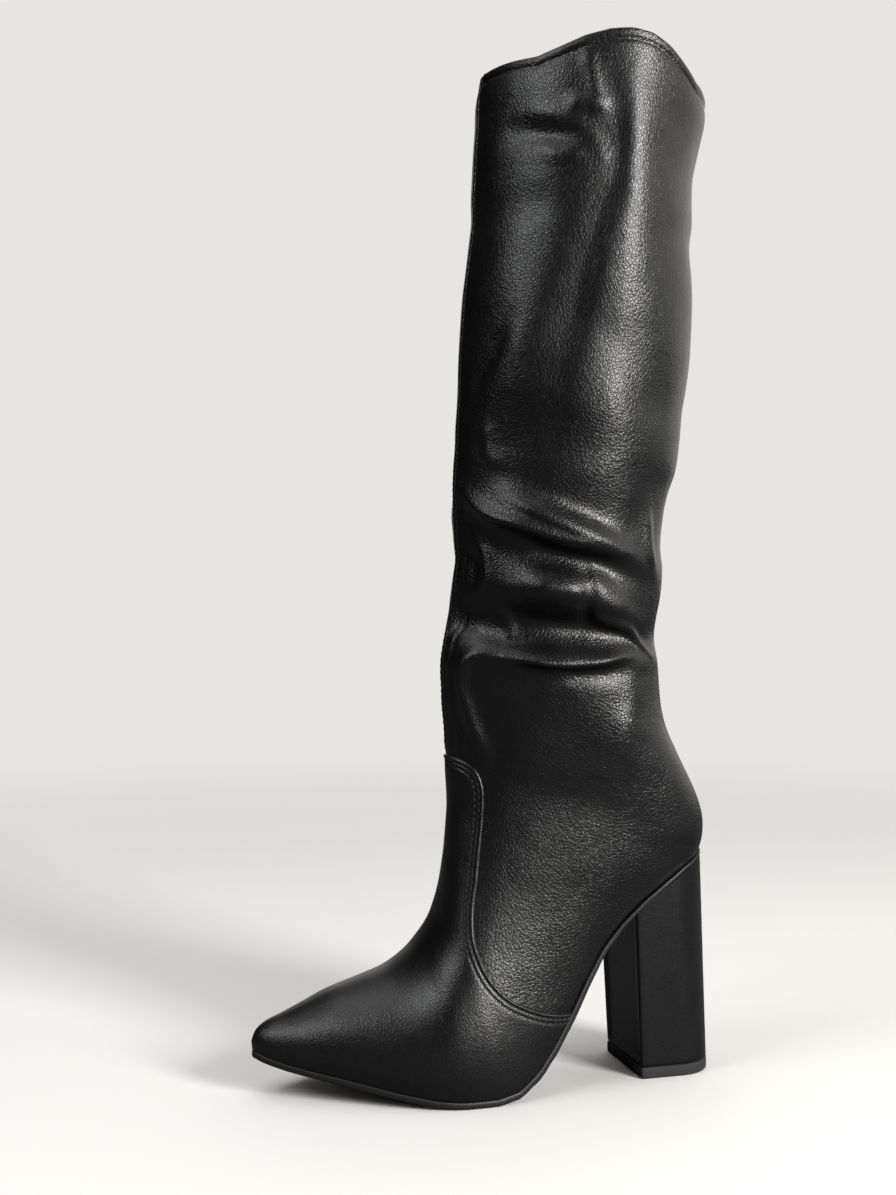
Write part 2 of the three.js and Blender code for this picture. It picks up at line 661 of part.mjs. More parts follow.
const PIECES = [
  { name: 'upper', make: makeUpper, color: 0x141417, roughness: 0.42 },
  { name: 'vamp', make: makeVamp, color: 0x17171a, roughness: 0.4 },
  { name: 'outsole', make: makeOutsole, color: 0x232326, roughness: 0.7 },
  { name: 'insole', make: makeInsole, color: 0x2a2624, roughness: 0.85 },
  { name: 'heel', make: makeHeel, color: 0x151518, roughness: 0.45 },
  { name: 'heel_top_piece', make: makeTopPiece, color: 0x1d1d20, roughness: 0.8 },
];

// Turned to the shared frame, with the origin under the middle of the boot's box
const boot = new THREE.Group();
boot.name = 'knee_high_boot';
const turned = new THREE.Matrix4().set(0, 1, 0, 0, -1, 0, 0, 0, 0, 0, 1, 0, 0, 0, 0, 1);
const box = new THREE.Box3();
for (const { name, make, color, roughness } of PIECES) {
  const geometry = make();
  geometry.applyMatrix4(turned);
  geometry.computeBoundingBox();
  box.union(geometry.boundingBox);
  const mesh = new THREE.Mesh(geometry, new THREE.MeshStandardMaterial({ color, roughness }));
  mesh.name = name;
  boot.add(mesh);
}
for (const mesh of boot.children) {
  mesh.geometry.translate(-(box.min.x + box.max.x) / 2, -(box.min.y + box.max.y) / 2, -box.min.z);
  mesh.geometry.computeVertexNormals();
}

export default boot;
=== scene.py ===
# %% [markdown]
# # A knee-high boot with a slouched leg
# The boot is drawn twice. The imported solids give its size and its place in the shared frame, and
# this script lays the leather, the seams and the creases over them. First the frame comes in. The
# finished boot may hardly be larger than that box.

# %% Load the frame
import math

import bmesh
import bpy
import numpy as np
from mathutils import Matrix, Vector, kdtree, noise


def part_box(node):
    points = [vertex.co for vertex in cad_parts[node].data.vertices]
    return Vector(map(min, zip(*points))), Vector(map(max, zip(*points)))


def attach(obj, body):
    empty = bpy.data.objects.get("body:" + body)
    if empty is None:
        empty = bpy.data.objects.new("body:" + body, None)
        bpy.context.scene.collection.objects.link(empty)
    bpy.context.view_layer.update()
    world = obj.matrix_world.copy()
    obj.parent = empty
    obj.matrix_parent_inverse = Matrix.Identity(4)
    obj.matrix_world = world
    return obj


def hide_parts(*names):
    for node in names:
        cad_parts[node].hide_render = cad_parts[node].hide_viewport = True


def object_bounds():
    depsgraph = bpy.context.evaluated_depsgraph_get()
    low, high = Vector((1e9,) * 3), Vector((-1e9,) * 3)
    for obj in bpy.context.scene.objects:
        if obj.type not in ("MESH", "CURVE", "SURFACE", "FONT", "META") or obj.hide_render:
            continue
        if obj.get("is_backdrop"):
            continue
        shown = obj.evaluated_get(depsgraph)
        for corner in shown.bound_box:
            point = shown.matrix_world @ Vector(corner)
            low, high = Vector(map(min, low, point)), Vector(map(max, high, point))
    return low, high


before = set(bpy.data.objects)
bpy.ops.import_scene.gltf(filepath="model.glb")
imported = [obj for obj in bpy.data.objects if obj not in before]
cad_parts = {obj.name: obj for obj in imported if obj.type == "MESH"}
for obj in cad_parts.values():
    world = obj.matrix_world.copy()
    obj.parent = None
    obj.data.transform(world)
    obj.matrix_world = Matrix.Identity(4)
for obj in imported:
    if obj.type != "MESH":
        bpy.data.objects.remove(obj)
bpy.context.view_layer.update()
MM = 0.001
print("solids in the frame:", sorted(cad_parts))


def select_nothing():
    if bpy.context.object and bpy.context.object.mode != "OBJECT":
        bpy.ops.object.mode_set(mode="OBJECT")
    bpy.ops.object.select_all(action="DESELECT")


def add_object(name, data):
    made = bpy.data.objects.new(name, data)
    bpy.context.scene.collection.objects.link(made)
    return made


select_nothing()

# %% [markdown]
# ## The camera
# A camera is an object with a lens, a place and a direction. It could be aimed with a constraint,
# but a fixed place and a fixed direction say plainly where the picture was taken from: at half the
# boot's height, beside its outer side and a little behind the ball of the foot.

# %% Place the camera
EYE = Vector((0.6826, -0.2067, 0.238))
AHEAD = Vector((-0.9641, 0.2656, -0.0122))
view_camera = add_object("view_camera", bpy.data.cameras.new("view_camera"))
view_camera.location = EYE
view_camera.rotation_euler = AHEAD.to_track_quat("-Z", "Y").to_euler()
view_camera.data.sensor_fit = "VERTICAL"
view_camera.data.sensor_height = 36
view_camera.data.lens = 45.19
view_camera.data.clip_start = 0.01
view_camera.data.dof.use_dof = False
bpy.context.scene.camera = view_camera
print("camera stands", round(EYE.length, 2), "m from the boot's middle")

# %% [markdown]
# ## The last in numbers
# Shoemakers shape a boot over a last. Here the last is a table of sections, in millimetres, the
# same that the solids were drawn from. Each row is one cut through the foot or the leg. A place on
# the leather has two numbers: s says which row it lies on, and w says how far round it lies, from
# the front, 0, over the outer side to the back seam, 1, or over the inner side to -1.

# %% The last's tables
# Top face of the sole: place along the boot, height, half width outside, half width inside
SOLE_ROWS = np.array([
    [220.5, 21, -5, 5], [219.8, 20.7, -2.2, 7.9], [217.6, 20, 0.4, 10.6], [213.5, 18.7, 3.4, 13.6],
    [207, 17, 7.4, 17.6], [198, 15.2, 12.8, 22.6], [186, 13, 19.2, 28.6], [172, 10, 26, 34.6],
    [158, 6.9, 31.9, 38.8], [145, 4.4, 36.4, 40.9], [133, 3.2, 38.7, 39.8], [117, 3.2, 38.6, 36.4],
    [106, 5.2, 36.5, 31.9], [96, 12.6, 34.1, 28.2], [87, 23.4, 31.3, 25.2], [78, 37, 28.6, 23.1],
    [69.5, 51.8, 26.6, 22.3], [61, 64.9, 25.3, 22.6], [51, 76, 24.9, 23.6], [40, 85.8, 24.8, 24.4],
    [29, 93.8, 24.4, 24.3], [19, 100.2, 22.5, 22.5], [11, 104.1, 18.2, 18.2], [6.4, 106, 12.2, 12.2],
    [4.1, 106.8, 5.8, 5.8], [3.7, 107, 0, 0],
])
# Sections on the sole, one for each row above: front's place and height, half widths outside
# and inside, place of the widest point, sharpness of the front and of the back
FOOT_ROWS = np.array([
    [221, 25.3, -5, 5, 0.5, 1, 1], [219.4, 29, -1.6, 8.5, 0.6, 1, 1], [216.9, 31.3, 1.6, 11.8, 0.66, 1, 1],
    [212.9, 33.5, 5, 15.2, 0.7, 1, 1], [206.9, 35.7, 9.2, 19.4, 0.72, 1, 1],
    [197.8, 39.6, 14.8, 24.6, 0.74, 1, 1], [185.2, 45.2, 21.4, 30.8, 0.75, 1, 1],
    [170.3, 50, 28.4, 37, 0.76, 1, 1], [157, 54.9, 34.4, 41.3, 0.76, 1, 1],
    [146.5, 62.4, 39, 43.4, 0.76, 1, 1], [140, 70.9, 41.4, 42.6, 0.75, 1, 1],
    [136.1, 79.3, 41.4, 39.8, 0.74, 1, 1], [134, 87.6, 39.6, 36, 0.73, 1, 1],
    [132.6, 95.4, 37.4, 32.6, 0.72, 1, 1], [131.6, 102.9, 35.2, 30.2, 0.72, 1, 1],
    [130.6, 110.4, 33.2, 28.9, 0.71, 1, 1], [129.9, 117.6, 31.8, 28.6, 0.7, 1, 1],
    [129.2, 124.6, 31, 28.9, 0.69, 1, 1], [128.7, 131.4, 30.7, 29.4, 0.68, 1, 1],
    [128.8, 137.8, 30.7, 29.8, 0.67, 1, 1], [129.2, 143.4, 30.8, 30.2, 0.66, 1, 0.97],
    [129.5, 148.4, 30.9, 30.5, 0.65, 1, 0.94], [129.7, 153, 31, 30.7, 0.645, 1, 0.91],
    [130.1, 157.2, 31.1, 30.8, 0.64, 1, 0.88], [130.5, 161, 31.2, 30.9, 0.635, 1, 0.86],
    [130.5, 164.4, 31.3, 31, 0.63, 1, 0.85],
])
# Sections of the leg: front's place and height, back's place and height, then as above
LEG_ROWS = np.array([
    [130.6, 167.6, 3.2, 108.4, 31.5, 31.2, 0.63, 1, 0.85],
    [130.9, 171.2, 2.5, 111.2, 31.8, 31.5, 0.625, 1, 0.85],
    [131.3, 175.4, 2, 116.2, 32.2, 31.9, 0.62, 1, 0.86],
    [131.7, 180.4, 2.6, 123.2, 32.8, 32.5, 0.61, 1, 0.87],
    [131.9, 186.4, 5.4, 132.6, 33.7, 33.3, 0.6, 1, 0.89],
    [132.3, 193.2, 9.9, 142.6, 34.8, 34.3, 0.58, 1, 0.91],
    [132.1, 200.6, 15.2, 152.8, 36, 35.4, 0.56, 1, 0.93],
    [130.9, 208, 20.2, 163.2, 37.3, 36.6, 0.54, 1, 0.95],
    [129.3, 215.6, 23.6, 173.8, 38.6, 37.8, 0.53, 1, 0.96],
    [127.6, 223.4, 25.1, 184.6, 39.9, 39, 0.52, 1, 0.97],
    [126.7, 231.4, 25.9, 195.6, 41, 40.1, 0.51, 1, 0.98],
    [125.8, 239.6, 27.4, 206.8, 42.1, 41.1, 0.51, 1, 1],
    [124.8, 248, 26.9, 218.2, 43.2, 42.1, 0.51, 1.01, 1.01],
    [125.3, 256.6, 24.8, 229.8, 44.3, 43.1, 0.51, 1.02, 1.02],
    [125.5, 265.2, 24, 241.4, 45.4, 44.2, 0.51, 1.03, 1.03],
    [125.4, 273.6, 24.8, 253, 46.6, 45.4, 0.51, 1.04, 1.04],
    [125.9, 283, 24, 265.2, 47.8, 46.6, 0.51, 1.05, 1.05],
    [125.8, 292.6, 21.6, 277.6, 49, 47.8, 0.51, 1.06, 1.06],
    [125.1, 302.4, 17, 290.2, 50.2, 49, 0.51, 1.07, 1.07],
    [124.8, 312.6, 15, 303.2, 51.4, 50.2, 0.51, 1.08, 1.08],
    [124.2, 323.4, 14, 316.6, 52.4, 51.2, 0.51, 1.09, 1.09],
    [123.8, 334.6, 11.6, 330.4, 53.2, 52, 0.51, 1.1, 1.1],
    [123.3, 346.4, 9.8, 344.2, 53.9, 52.6, 0.51, 1.1, 1.1],
    [122.4, 358.4, 9.2, 357.6, 54.6, 53.2, 0.51, 1.1, 1.1],
    [121.5, 370.6, 8.8, 370.6, 55.1, 53.6, 0.51, 1.1, 1.1],
    [120.1, 383, 9.4, 383, 55.6, 54.2, 0.51, 1.1, 1.1],
    [118.3, 395.4, 10.6, 395.4, 56, 54.6, 0.51, 1.1, 1.1],
    [116.7, 407.8, 9.6, 407.8, 56.4, 55, 0.51, 1.1, 1.1],
    [116.8, 420.2, 9.8, 420.2, 56.8, 55.4, 0.51, 1.1, 1.1],
    [116.2, 432.6, 9.5, 432.6, 57.1, 55.8, 0.51, 1.1, 1.1],
    [115.6, 445, 7.8, 445, 57.4, 56.2, 0.51, 1.1, 1.1], [114.9, 457, 5.4, 457, 57.7, 56.6, 0.51, 1.1, 1.1],
    [114.4, 468.5, 3, 468.5, 58, 57, 0.51, 1.1, 1.1], [112.1, 480, 3.2, 480, 58.2, 57.2, 0.51, 1.1, 1.1],
])
# Edge of the collar: place along the boot, height
TOPLINE = np.array([
    [0, 468.8], [12, 466.5], [22, 468], [30, 472.6], [40, 478.8], [50, 482.7], [60, 484], [70, 483.5],
    [80, 481.3], [90, 477.6], [98, 475], [114, 476.8],
])
# Large folds of the leg: side, place round, height, half length round, half width, rise along
# the fold, height out of the surface
FOLDS = np.array([
    [1, 0.34, 262, 0.3, 7, -52, 3.4], [1, 0.42, 246, 0.22, 7, -30, -3.6], [1, 0.4, 232, 0.14, 8, -6, 3],
    [1, 0.44, 216, 0.3, 8, -16, -5.2], [1, 0.6, 222, 0.14, 6, -50, 2.6], [1, 0.42, 202, 0.3, 6, 2, 3],
    [1, 0.16, 190, 0.07, 16, 0, 1.6], [1, 0.36, 300, 0.16, 16, -40, -2], [1, 0.24, 345, 0.1, 40, -220, 1.6],
    [1, 0.28, 438, 0.14, 6, -20, -1.8], [-1, 0.36, 256, 0.28, 8, -44, 3], [-1, 0.46, 238, 0.24, 8, -20, -4],
    [-1, 0.5, 220, 0.26, 8, -14, 3], [-1, 0.46, 204, 0.28, 7, 4, -3.2], [-1, 0.4, 310, 0.18, 16, -50, -2],
])
SECTIONS = np.vstack([
    np.column_stack([FOOT_ROWS[:, :2], SOLE_ROWS, FOOT_ROWS[:, 2:]]),
    np.column_stack([LEG_ROWS[:, :4], np.zeros((len(LEG_ROWS), 2)), LEG_ROWS[:, 4:]])])
LAST_FOOT = len(FOOT_ROWS) - 1
LAST_ROW = len(SECTIONS) - 1
WIDTH_COLUMNS = [4, 5, 6, 7]
print(len(FOOT_ROWS), "sections of the foot and", len(LEG_ROWS), "of the leg")

# %% [markdown]
# ## From the tables to a surface
# Between two rows the numbers run on a smooth curve, as a batten does when it is bent over pins.
# In a section the leather goes round a curve like an ellipse, squarer or sharper where the row
# says so. This could be a lofted patch surface, but a function of s and w is easier to ask
# for a point anywhere, and every seam and stitch below asks it.

# %% Ask the last for a point
def soften(x):
    x = np.clip(x, 0, 1)
    return x * x * (3 - 2 * x)


def smooth_row(rows, s, running_on):
    s = np.clip(s, 0, len(rows) - 1)
    i = np.minimum(s.astype(int), len(rows) - 2)
    f = (s - i)[..., None]
    here, ahead, after = rows[i], rows[i + 1], rows[np.minimum(i + 2, len(rows) - 1)]
    before = rows[np.maximum(i - 1, 0)]
    turned = np.where(np.isin(np.arange(rows.shape[1]), running_on), 2 * here - ahead, ahead)
    before = np.where((i == 0)[..., None], turned, before)
    after = np.where((i == len(rows) - 2)[..., None], 2 * ahead - here, after)
    square = 2 * before - 5 * here + 4 * ahead - after
    cube = 3 * here - before - 3 * ahead + after
    return 0.5 * (2 * here + (ahead - before) * f + square * f ** 2 + cube * f ** 3)


def last_point(s, w):
    """Place (along, across, up) in millimetres of the leather before it folds."""
    s, w = np.broadcast_arrays(np.asarray(s, float), np.asarray(w, float))
    w = np.where((s >= LAST_FOOT) & (np.abs(w) > 1), w - 2 * np.sign(w), np.clip(w, -1, 1))
    row = np.moveaxis(smooth_row(SECTIONS, s, WIDTH_COLUMNS), -1, 0)
    front, front_z, low, low_z, low_out, low_in, out, inside, widest, front_edge, back_edge = row
    foot = s <= LAST_FOOT
    middle = np.where(foot, (low_out - low_in) / 2, 0)
    half_low = np.maximum(np.where(foot, (low_out + low_in) / 2, 0), 0)
    half = np.maximum(np.where(w >= 0, out - middle, inside + middle), half_low + 1e-6)
    end = np.pi - np.arcsin(np.clip(half_low / half, 0, 0.995) ** (1 / back_edge))
    angle = np.abs(w) * end
    ahead = angle <= np.pi / 2
    edge = np.where(ahead, front_edge, back_edge)
    cosine = np.abs(np.cos(angle)) ** edge
    low_cosine = np.maximum(np.abs(np.cos(end)) ** back_edge, 1e-9)
    along = np.where(ahead, widest * (1 - cosine), widest + (1 - widest) * cosine / low_cosine)
    across = middle + np.where(w >= 0, 1, -1) * half * np.abs(np.sin(angle)) ** edge
    a = front + (low - front) * along
    z = front_z + (low_z - front_z) * along
    z = z + soften((z - 400) / 80) * (np.interp(a, TOPLINE[:, 0], TOPLINE[:, 1]) - 480)
    return np.stack([a, across, z], -1)


def walked(points):
    """Length walked along a line of points, at each of them."""
    return np.concatenate([[0], np.cumsum(np.linalg.norm(np.diff(points, axis=0), axis=1))])


def last_normal(s, w):
    """Outward direction, and the unit direction up the leg, at a place on the last."""
    s, w = np.broadcast_arrays(np.asarray(s, float), np.asarray(w, float))
    s = np.clip(s, 0.06, LAST_ROW - 0.01)
    up = last_point(s + 0.05, w) - last_point(s - 0.05, w)
    side = last_point(s, w + 0.004) - last_point(s, w - 0.004)
    out = np.cross(up, side)
    out /= np.maximum(np.linalg.norm(out, axis=-1, keepdims=True), 1e-12)
    up /= np.maximum(np.linalg.norm(up, axis=-1, keepdims=True), 1e-12)
    return out, up


test_out = last_normal(np.array([45.0]), np.array([0.0]))[0][0]
OUTWARD = 1 if test_out[0] > 0 else -1
TOP_PIECE_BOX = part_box("heel_top_piece")
BACK_Y = TOP_PIECE_BOX[1].y / MM
MIDDLE_X = (TOP_PIECE_BOX[0].x + TOP_PIECE_BOX[1].x) / 2 / MM


def to_frame(points):
    """Millimetres on the last to metres in the shared frame: toe along -Y, outer side along +X."""
    points = np.asarray(points, float)
    return np.stack([points[..., 1] + MIDDLE_X, BACK_Y - points[..., 0], points[..., 2]], -1) * MM


girth_rows = np.linspace(0, LAST_ROW, 4 * LAST_ROW + 1)
girth_walk = last_point(girth_rows[:, None], np.linspace(0, 1, 81)[None])
GIRTH = np.linalg.norm(np.diff(girth_walk, axis=1), axis=-1).sum(1)
FRONT_SPEED = np.linalg.norm(girth_walk[:, 1] - girth_walk[:, 0], axis=-1) * 80
BACK_SPEED = np.linalg.norm(girth_walk[:, -1] - girth_walk[:, -2], axis=-1) * 80
BACK_SPEED = np.maximum(BACK_SPEED, 0.3 * GIRTH)


def half_girth_at(z):
    leg = girth_rows >= LAST_FOOT
    return np.interp(z, girth_walk[leg][:, 40, 2], GIRTH[leg])


print("half the girth at the calf is", round(float(half_girth_at(400)), 1), "mm")

# %% [markdown]
# ## Creases
# Soft leather slouches at the ankle in a few long folds with sharp crests, and hangs in shallow
# upright waves on the calf. Cloth simulation could crumple a tube, but never into these folds, so
# each crease is laid one by one as a line of places (w, height), with its own height or depth and its
# own width in millimetres. The flank on the right hand, walking along the line, is narrower by the
# steepness, so that a fold can drop sharply on one side and run out softly on the other. A long
# crease fades out towards both ends; a short wide one keeps its height, or it would look like a dot.

# %% The creases of the outer side
# height, half width, steepness of the flank on the right hand, points
OUTER_CREASES = [
    (0.7, 14.0, 1, [(0.499, 476), (0.530, 457), (0.543, 435), (0.540, 415), (0.541, 395), (0.538, 363)]),
    (-0.9, 14.0, 1, [(0.440, 352), (0.500, 343), (0.560, 334), (0.630, 322)]),
    (-1.5, 7.0, 0.45, [(0.402, 476), (0.432, 458), (0.457, 443), (0.464, 427), (0.445, 413), (0.419, 402),
                    (0.401, 387), (0.383, 374), (0.370, 358), (0.357, 343), (0.351, 327), (0.353, 312)]),
    (0.9, 3.4, 1, [(0.353, 477), (0.373, 466), (0.391, 456), (0.401, 449)]),
    (1.1, 4.0, 1, [(0.346, 451), (0.377, 451), (0.406, 450)]),
    (0.5, 3.8, 1, [(0.191, 450), (0.263, 448), (0.317, 444), (0.357, 440), (0.389, 436), (0.412, 432),
                     (0.425, 426), (0.421, 419)]),
    (-0.5, 5.5, 1, [(0.113, 448), (0.194, 445), (0.252, 441), (0.297, 437), (0.329, 434)]),
    (0.6, 4.2, 1, [(0.227, 436), (0.270, 433), (0.310, 429), (0.353, 430), (0.391, 432)]),
    (0.8, 11.0, 1, [(0.407, 412), (0.361, 401), (0.334, 385), (0.315, 369), (0.289, 357), (0.261, 346),
                   (0.233, 337), (0.206, 327), (0.164, 319), (0.104, 314)]),
    (-0.9, 5.0, 1, [(0.215, 357), (0.185, 347), (0.149, 336), (0.106, 327), (0.064, 321)]),
    (0.8, 4.0, 1, [(0.161, 305), (0.173, 297), (0.195, 292)]),
    (-1.5, 12.0, 1.8, [(0.230, 287), (0.300, 283), (0.359, 278), (0.449, 272), (0.533, 267), (0.625, 262)]),
    (1.8, 4.6, 1.3, [(0.237, 275), (0.313, 271), (0.399, 265), (0.487, 259), (0.555, 255), (0.614, 251)]),
    (2.0, 3.6, 1.8, [(0.078, 278), (0.159, 269), (0.222, 265), (0.286, 262), (0.350, 258), (0.406, 255),
                     (0.473, 253), (0.542, 250), (0.606, 249)]),
    (-1.6, 3.6, 0.6, [(0.260, 258), (0.310, 256), (0.374, 252), (0.446, 249), (0.523, 247),
                    (0.586, 244), (0.635, 240)]),
    (1.1, 4.2, 1, [(0.129, 254), (0.163, 250), (0.177, 244), (0.181, 238), (0.153, 233)]),
    (-0.6, 4.0, 1, [(0.095, 248), (0.120, 244), (0.122, 239)]),
    (1.7, 8.0, 1, [(0.370, 236), (0.426, 236), (0.472, 236)]),
    (-1.5, 4.0, 1, [(0.487, 239), (0.497, 231), (0.509, 223)]),
    (1.0, 6.0, 1, [(0.517, 238), (0.554, 232), (0.594, 227)]),
    (-2.5, 14.0, 3.4, [(-0.120, 222), (0.020, 218), (0.148, 215), (0.243, 211), (0.336, 209),
                       (0.422, 208), (0.509, 207), (0.611, 206), (0.702, 204)]),
    (0.9, 3.0, 1, [(0.222, 223), (0.253, 219), (0.270, 213)]),
    (1.8, 2.6, 2.0, [(0.512, 228), (0.532, 221), (0.567, 218), (0.620, 216), (0.673, 213), (0.718, 207),
                     (0.767, 202)]),
    (1.9, 3.8, 1, [(0.223, 207), (0.186, 204), (0.153, 200), (0.134, 194), (0.127, 189), (0.138, 182),
                   (0.152, 174), (0.170, 164), (0.198, 154)]),
    (1.8, 3.0, 1.6, [(0.272, 202), (0.341, 201), (0.422, 199), (0.505, 199), (0.577, 201), (0.659, 203)]),
    (-1.5, 5.0, 1, [(0.407, 195), (0.489, 195), (0.575, 196), (0.658, 200)]),
    (1.4, 20.0, 1, [(0.320, 156), (0.450, 160), (0.580, 166)]),
    (0.8, 8.0, 1, [(0.667, 199), (0.655, 188), (0.614, 177), (0.547, 168), (0.485, 159), (0.455, 152)]),
    (1.2, 4.0, 1, [(0.706, 272), (0.720, 261), (0.732, 250), (0.759, 242)]),
]
# The inner side is not seen, so its creases are the maker's own, of the same kind
INNER_CREASES = [
    (1.6, 7.0, 1, [(0.46, 478), (0.49, 450), (0.50, 420), (0.48, 385), (0.50, 350)]),
    (-1.5, 6.5, 1, [(0.62, 470), (0.60, 440), (0.57, 405), (0.55, 370)]),
    (-1.2, 6.0, 1, [(0.30, 455), (0.33, 425), (0.36, 390), (0.34, 355), (0.28, 330)]),
    (1.2, 5.0, 1, [(0.16, 400), (0.22, 370), (0.28, 345), (0.38, 322), (0.50, 308)]),
    (-1.6, 5.5, 1, [(0.10, 296), (0.24, 292), (0.38, 286), (0.52, 280), (0.68, 270)]),
    (1.8, 3.2, 1.8, [(0.12, 272), (0.24, 267), (0.36, 262), (0.48, 257), (0.60, 252), (0.74, 240)]),
    (-1.8, 4.2, 1, [(0.14, 261), (0.27, 255), (0.40, 250), (0.54, 246), (0.68, 236)]),
    (1.6, 4.6, 1, [(0.22, 240), (0.33, 236), (0.44, 235), (0.54, 232)]),
    (-2.2, 4.8, 1, [(0.12, 226), (0.24, 221), (0.38, 216), (0.52, 212), (0.68, 206)]),
    (1.6, 3.0, 1.6, [(0.22, 206), (0.34, 203), (0.46, 201), (0.58, 203), (0.70, 207)]),
    (-1.2, 4.0, 1, [(0.34, 195), (0.48, 194), (0.62, 198)]),
    (1.0, 4.5, 1, [(0.70, 196), (0.63, 182), (0.54, 170), (0.47, 158)]),
]
# All heights above are multiplied by this
CREASE_STRENGTH = 1.5


def spread_line(points, steps=10):
    points = np.array(points, float)
    if len(points) < 3:
        points = np.array([points[0], points.mean(0), points[-1]])
    s = np.linspace(0, len(points) - 1, steps * (len(points) - 1) + 1)
    return smooth_row(points, s, [0, 1])


def crease_height(creases, w, z):
    """Sum of one side's creases, in millimetres out of the last."""
    total = np.zeros(w.shape)
    across = w * half_girth_at(z)
    for height, width, steep, points in creases:
        line = spread_line(points)
        line = np.column_stack([line[:, 0] * half_girth_at(line[:, 1]), line[:, 1]])
        reach = 2.6 * width * max(1, 1 / steep)
        near = ((across > line[:, 0].min() - reach) & (across < line[:, 0].max() + reach)
                & (z > line[:, 1].min() - reach) & (z < line[:, 1].max() + reach))
        if not near.any():
            continue
        place = np.column_stack([across[near], z[near]])
        start, step = line[:-1], np.diff(line, axis=0)
        length = np.linalg.norm(step, axis=1)
        run = np.concatenate([[0], np.cumsum(length)])
        best = np.full(len(place), 1e9)
        share, right = np.zeros(len(place)), np.zeros(len(place))
        for k in range(len(step)):
            t = np.clip(((place - start[k]) @ step[k]) / length[k] ** 2, 0, 1)
            away = place - start[k] - t[:, None] * step[k]
            distance = np.hypot(away[:, 0], away[:, 1])
            closer = distance < best
            best[closer] = distance[closer]
            share[closer] = ((run[k] + t * length[k]) / run[-1])[closer]
            cross = step[k, 0] * away[:, 1] - step[k, 1] * away[:, 0]
            right[closer] = soften(0.5 - 0.7 * cross / np.maximum(distance * length[k], 1e-6))[closer]
        flank = width * (1 - right * (1 - 1 / steep))
        thin = 0.75 * soften(run[-1] / width / 4 - 0.75)
        taper = 1 - thin + thin * soften(share / 0.3) * soften((1 - share) / 0.3)
        total[near] += CREASE_STRENGTH * height * taper * np.exp(-(best / flank) ** 2)
    return total


print(len(OUTER_CREASES), "creases outside,", len(INNER_CREASES), "inside")

# %% [markdown]
# ## All relief in one place
# The large folds of the solids, the creases, a slow unevenness of the hide, and the seams are one
# height over the last. The two sides are blended over the front and the back seam, so that no step
# is left where they meet.

# %% Height of the leather over the last
def side_share(w):
    """1 on the outer side, 0 on the inner one, and a soft change over both seams."""
    inward = np.minimum(soften(np.abs(w) / 0.05), soften((1 - np.abs(w)) / 0.06))
    return 0.5 + 0.5 * np.sign(w) * inward


def fold_height(side, w, z):
    total = np.zeros(w.shape)
    for fold_side, place, level, half_length, half_width, rise, height in FOLDS:
        if fold_side == side:
            off = w - place
            total += height * np.exp(-(off / half_length) ** 2 - ((z - level - rise * off) / half_width) ** 2)
    return total


def hide_unevenness(points):
    flat = points.reshape(-1, 3)
    lumps = [0.30 * noise.noise(Vector(p) / 26) + 0.16 * noise.noise(Vector(p) / 11 + Vector((7, 3, 1)))
             for p in flat]
    return np.array(lumps).reshape(points.shape[:-1])


def relief(s, w, points):
    """Height in millimetres of the folded leather over the last."""
    z, around = points[..., 2], np.abs(w)
    share = side_share(w)
    outer = fold_height(1, around, z) + crease_height(OUTER_CREASES, around, z)
    inner = fold_height(-1, around, z) + crease_height(INNER_CREASES, around, z)
    height = share * outer + (1 - share) * inner
    return height * soften((s - 12) / 8) + hide_unevenness(points)


def sole_number(a, column):
    """A number of the sole's table at a place along the boot."""
    return np.interp(a, SOLE_ROWS[::-1, 0], SOLE_ROWS[::-1, column])


def sole_top(a):
    return sole_number(a, 1)


def low_limit(points, gap):
    """Keeps a point above the sole's face."""
    points[..., 2] = np.maximum(points[..., 2], sole_top(points[..., 0]) + gap)
    return points


print("relief is ready")

# %% [markdown]
# ## Sheets of leather
# A sheet starts as a grid primitive. A grid could be sculpted by hand or draped by simulation, but
# its rows and columns are in order, so each of its points can be laid exactly where the last says.
# Afterwards doubles are merged, so that the back seam closes, and the faces are turned outwards.

# %% Helpers for sheets
def lay_sheet(name, points):
    """A grid primitive with its points laid on a table of rows and columns, in metres."""
    rows, columns = points.shape[:2]
    select_nothing()
    bpy.ops.mesh.primitive_grid_add(x_subdivisions=columns - 1, y_subdivisions=rows - 1, size=1)
    piece = bpy.context.object
    piece.name = piece.data.name = name
    assert len(piece.data.vertices) == rows * columns
    piece.data.vertices.foreach_set("co", np.ascontiguousarray(points, np.float32).ravel())
    piece.data.update()
    return piece


def take_up(piece):
    """Makes a piece the only selected one and the active one."""
    select_nothing()
    piece.select_set(True)
    bpy.context.view_layer.objects.active = piece


def tidy_mesh(piece, merge=0.02 * MM, fill=False, inwards=False):
    """Merges doubles, closes open ends where asked, and turns the faces outwards or inwards."""
    take_up(piece)
    bpy.ops.object.mode_set(mode="EDIT")
    bpy.ops.mesh.select_all(action="SELECT")
    bpy.ops.mesh.remove_doubles(threshold=merge)
    if fill:
        bpy.ops.mesh.fill_holes(sides=0)
    bpy.ops.mesh.select_all(action="SELECT")
    bpy.ops.mesh.normals_make_consistent(inside=False)
    if inwards:
        bpy.ops.mesh.flip_normals()
    bpy.ops.object.mode_set(mode="OBJECT")
    bpy.ops.object.shade_smooth()


def soften_edges(piece, angle):
    """Keeps the edges sharp where two faces meet at more than the angle."""
    take_up(piece)
    bpy.ops.object.shade_smooth_by_angle(angle=math.radians(angle))


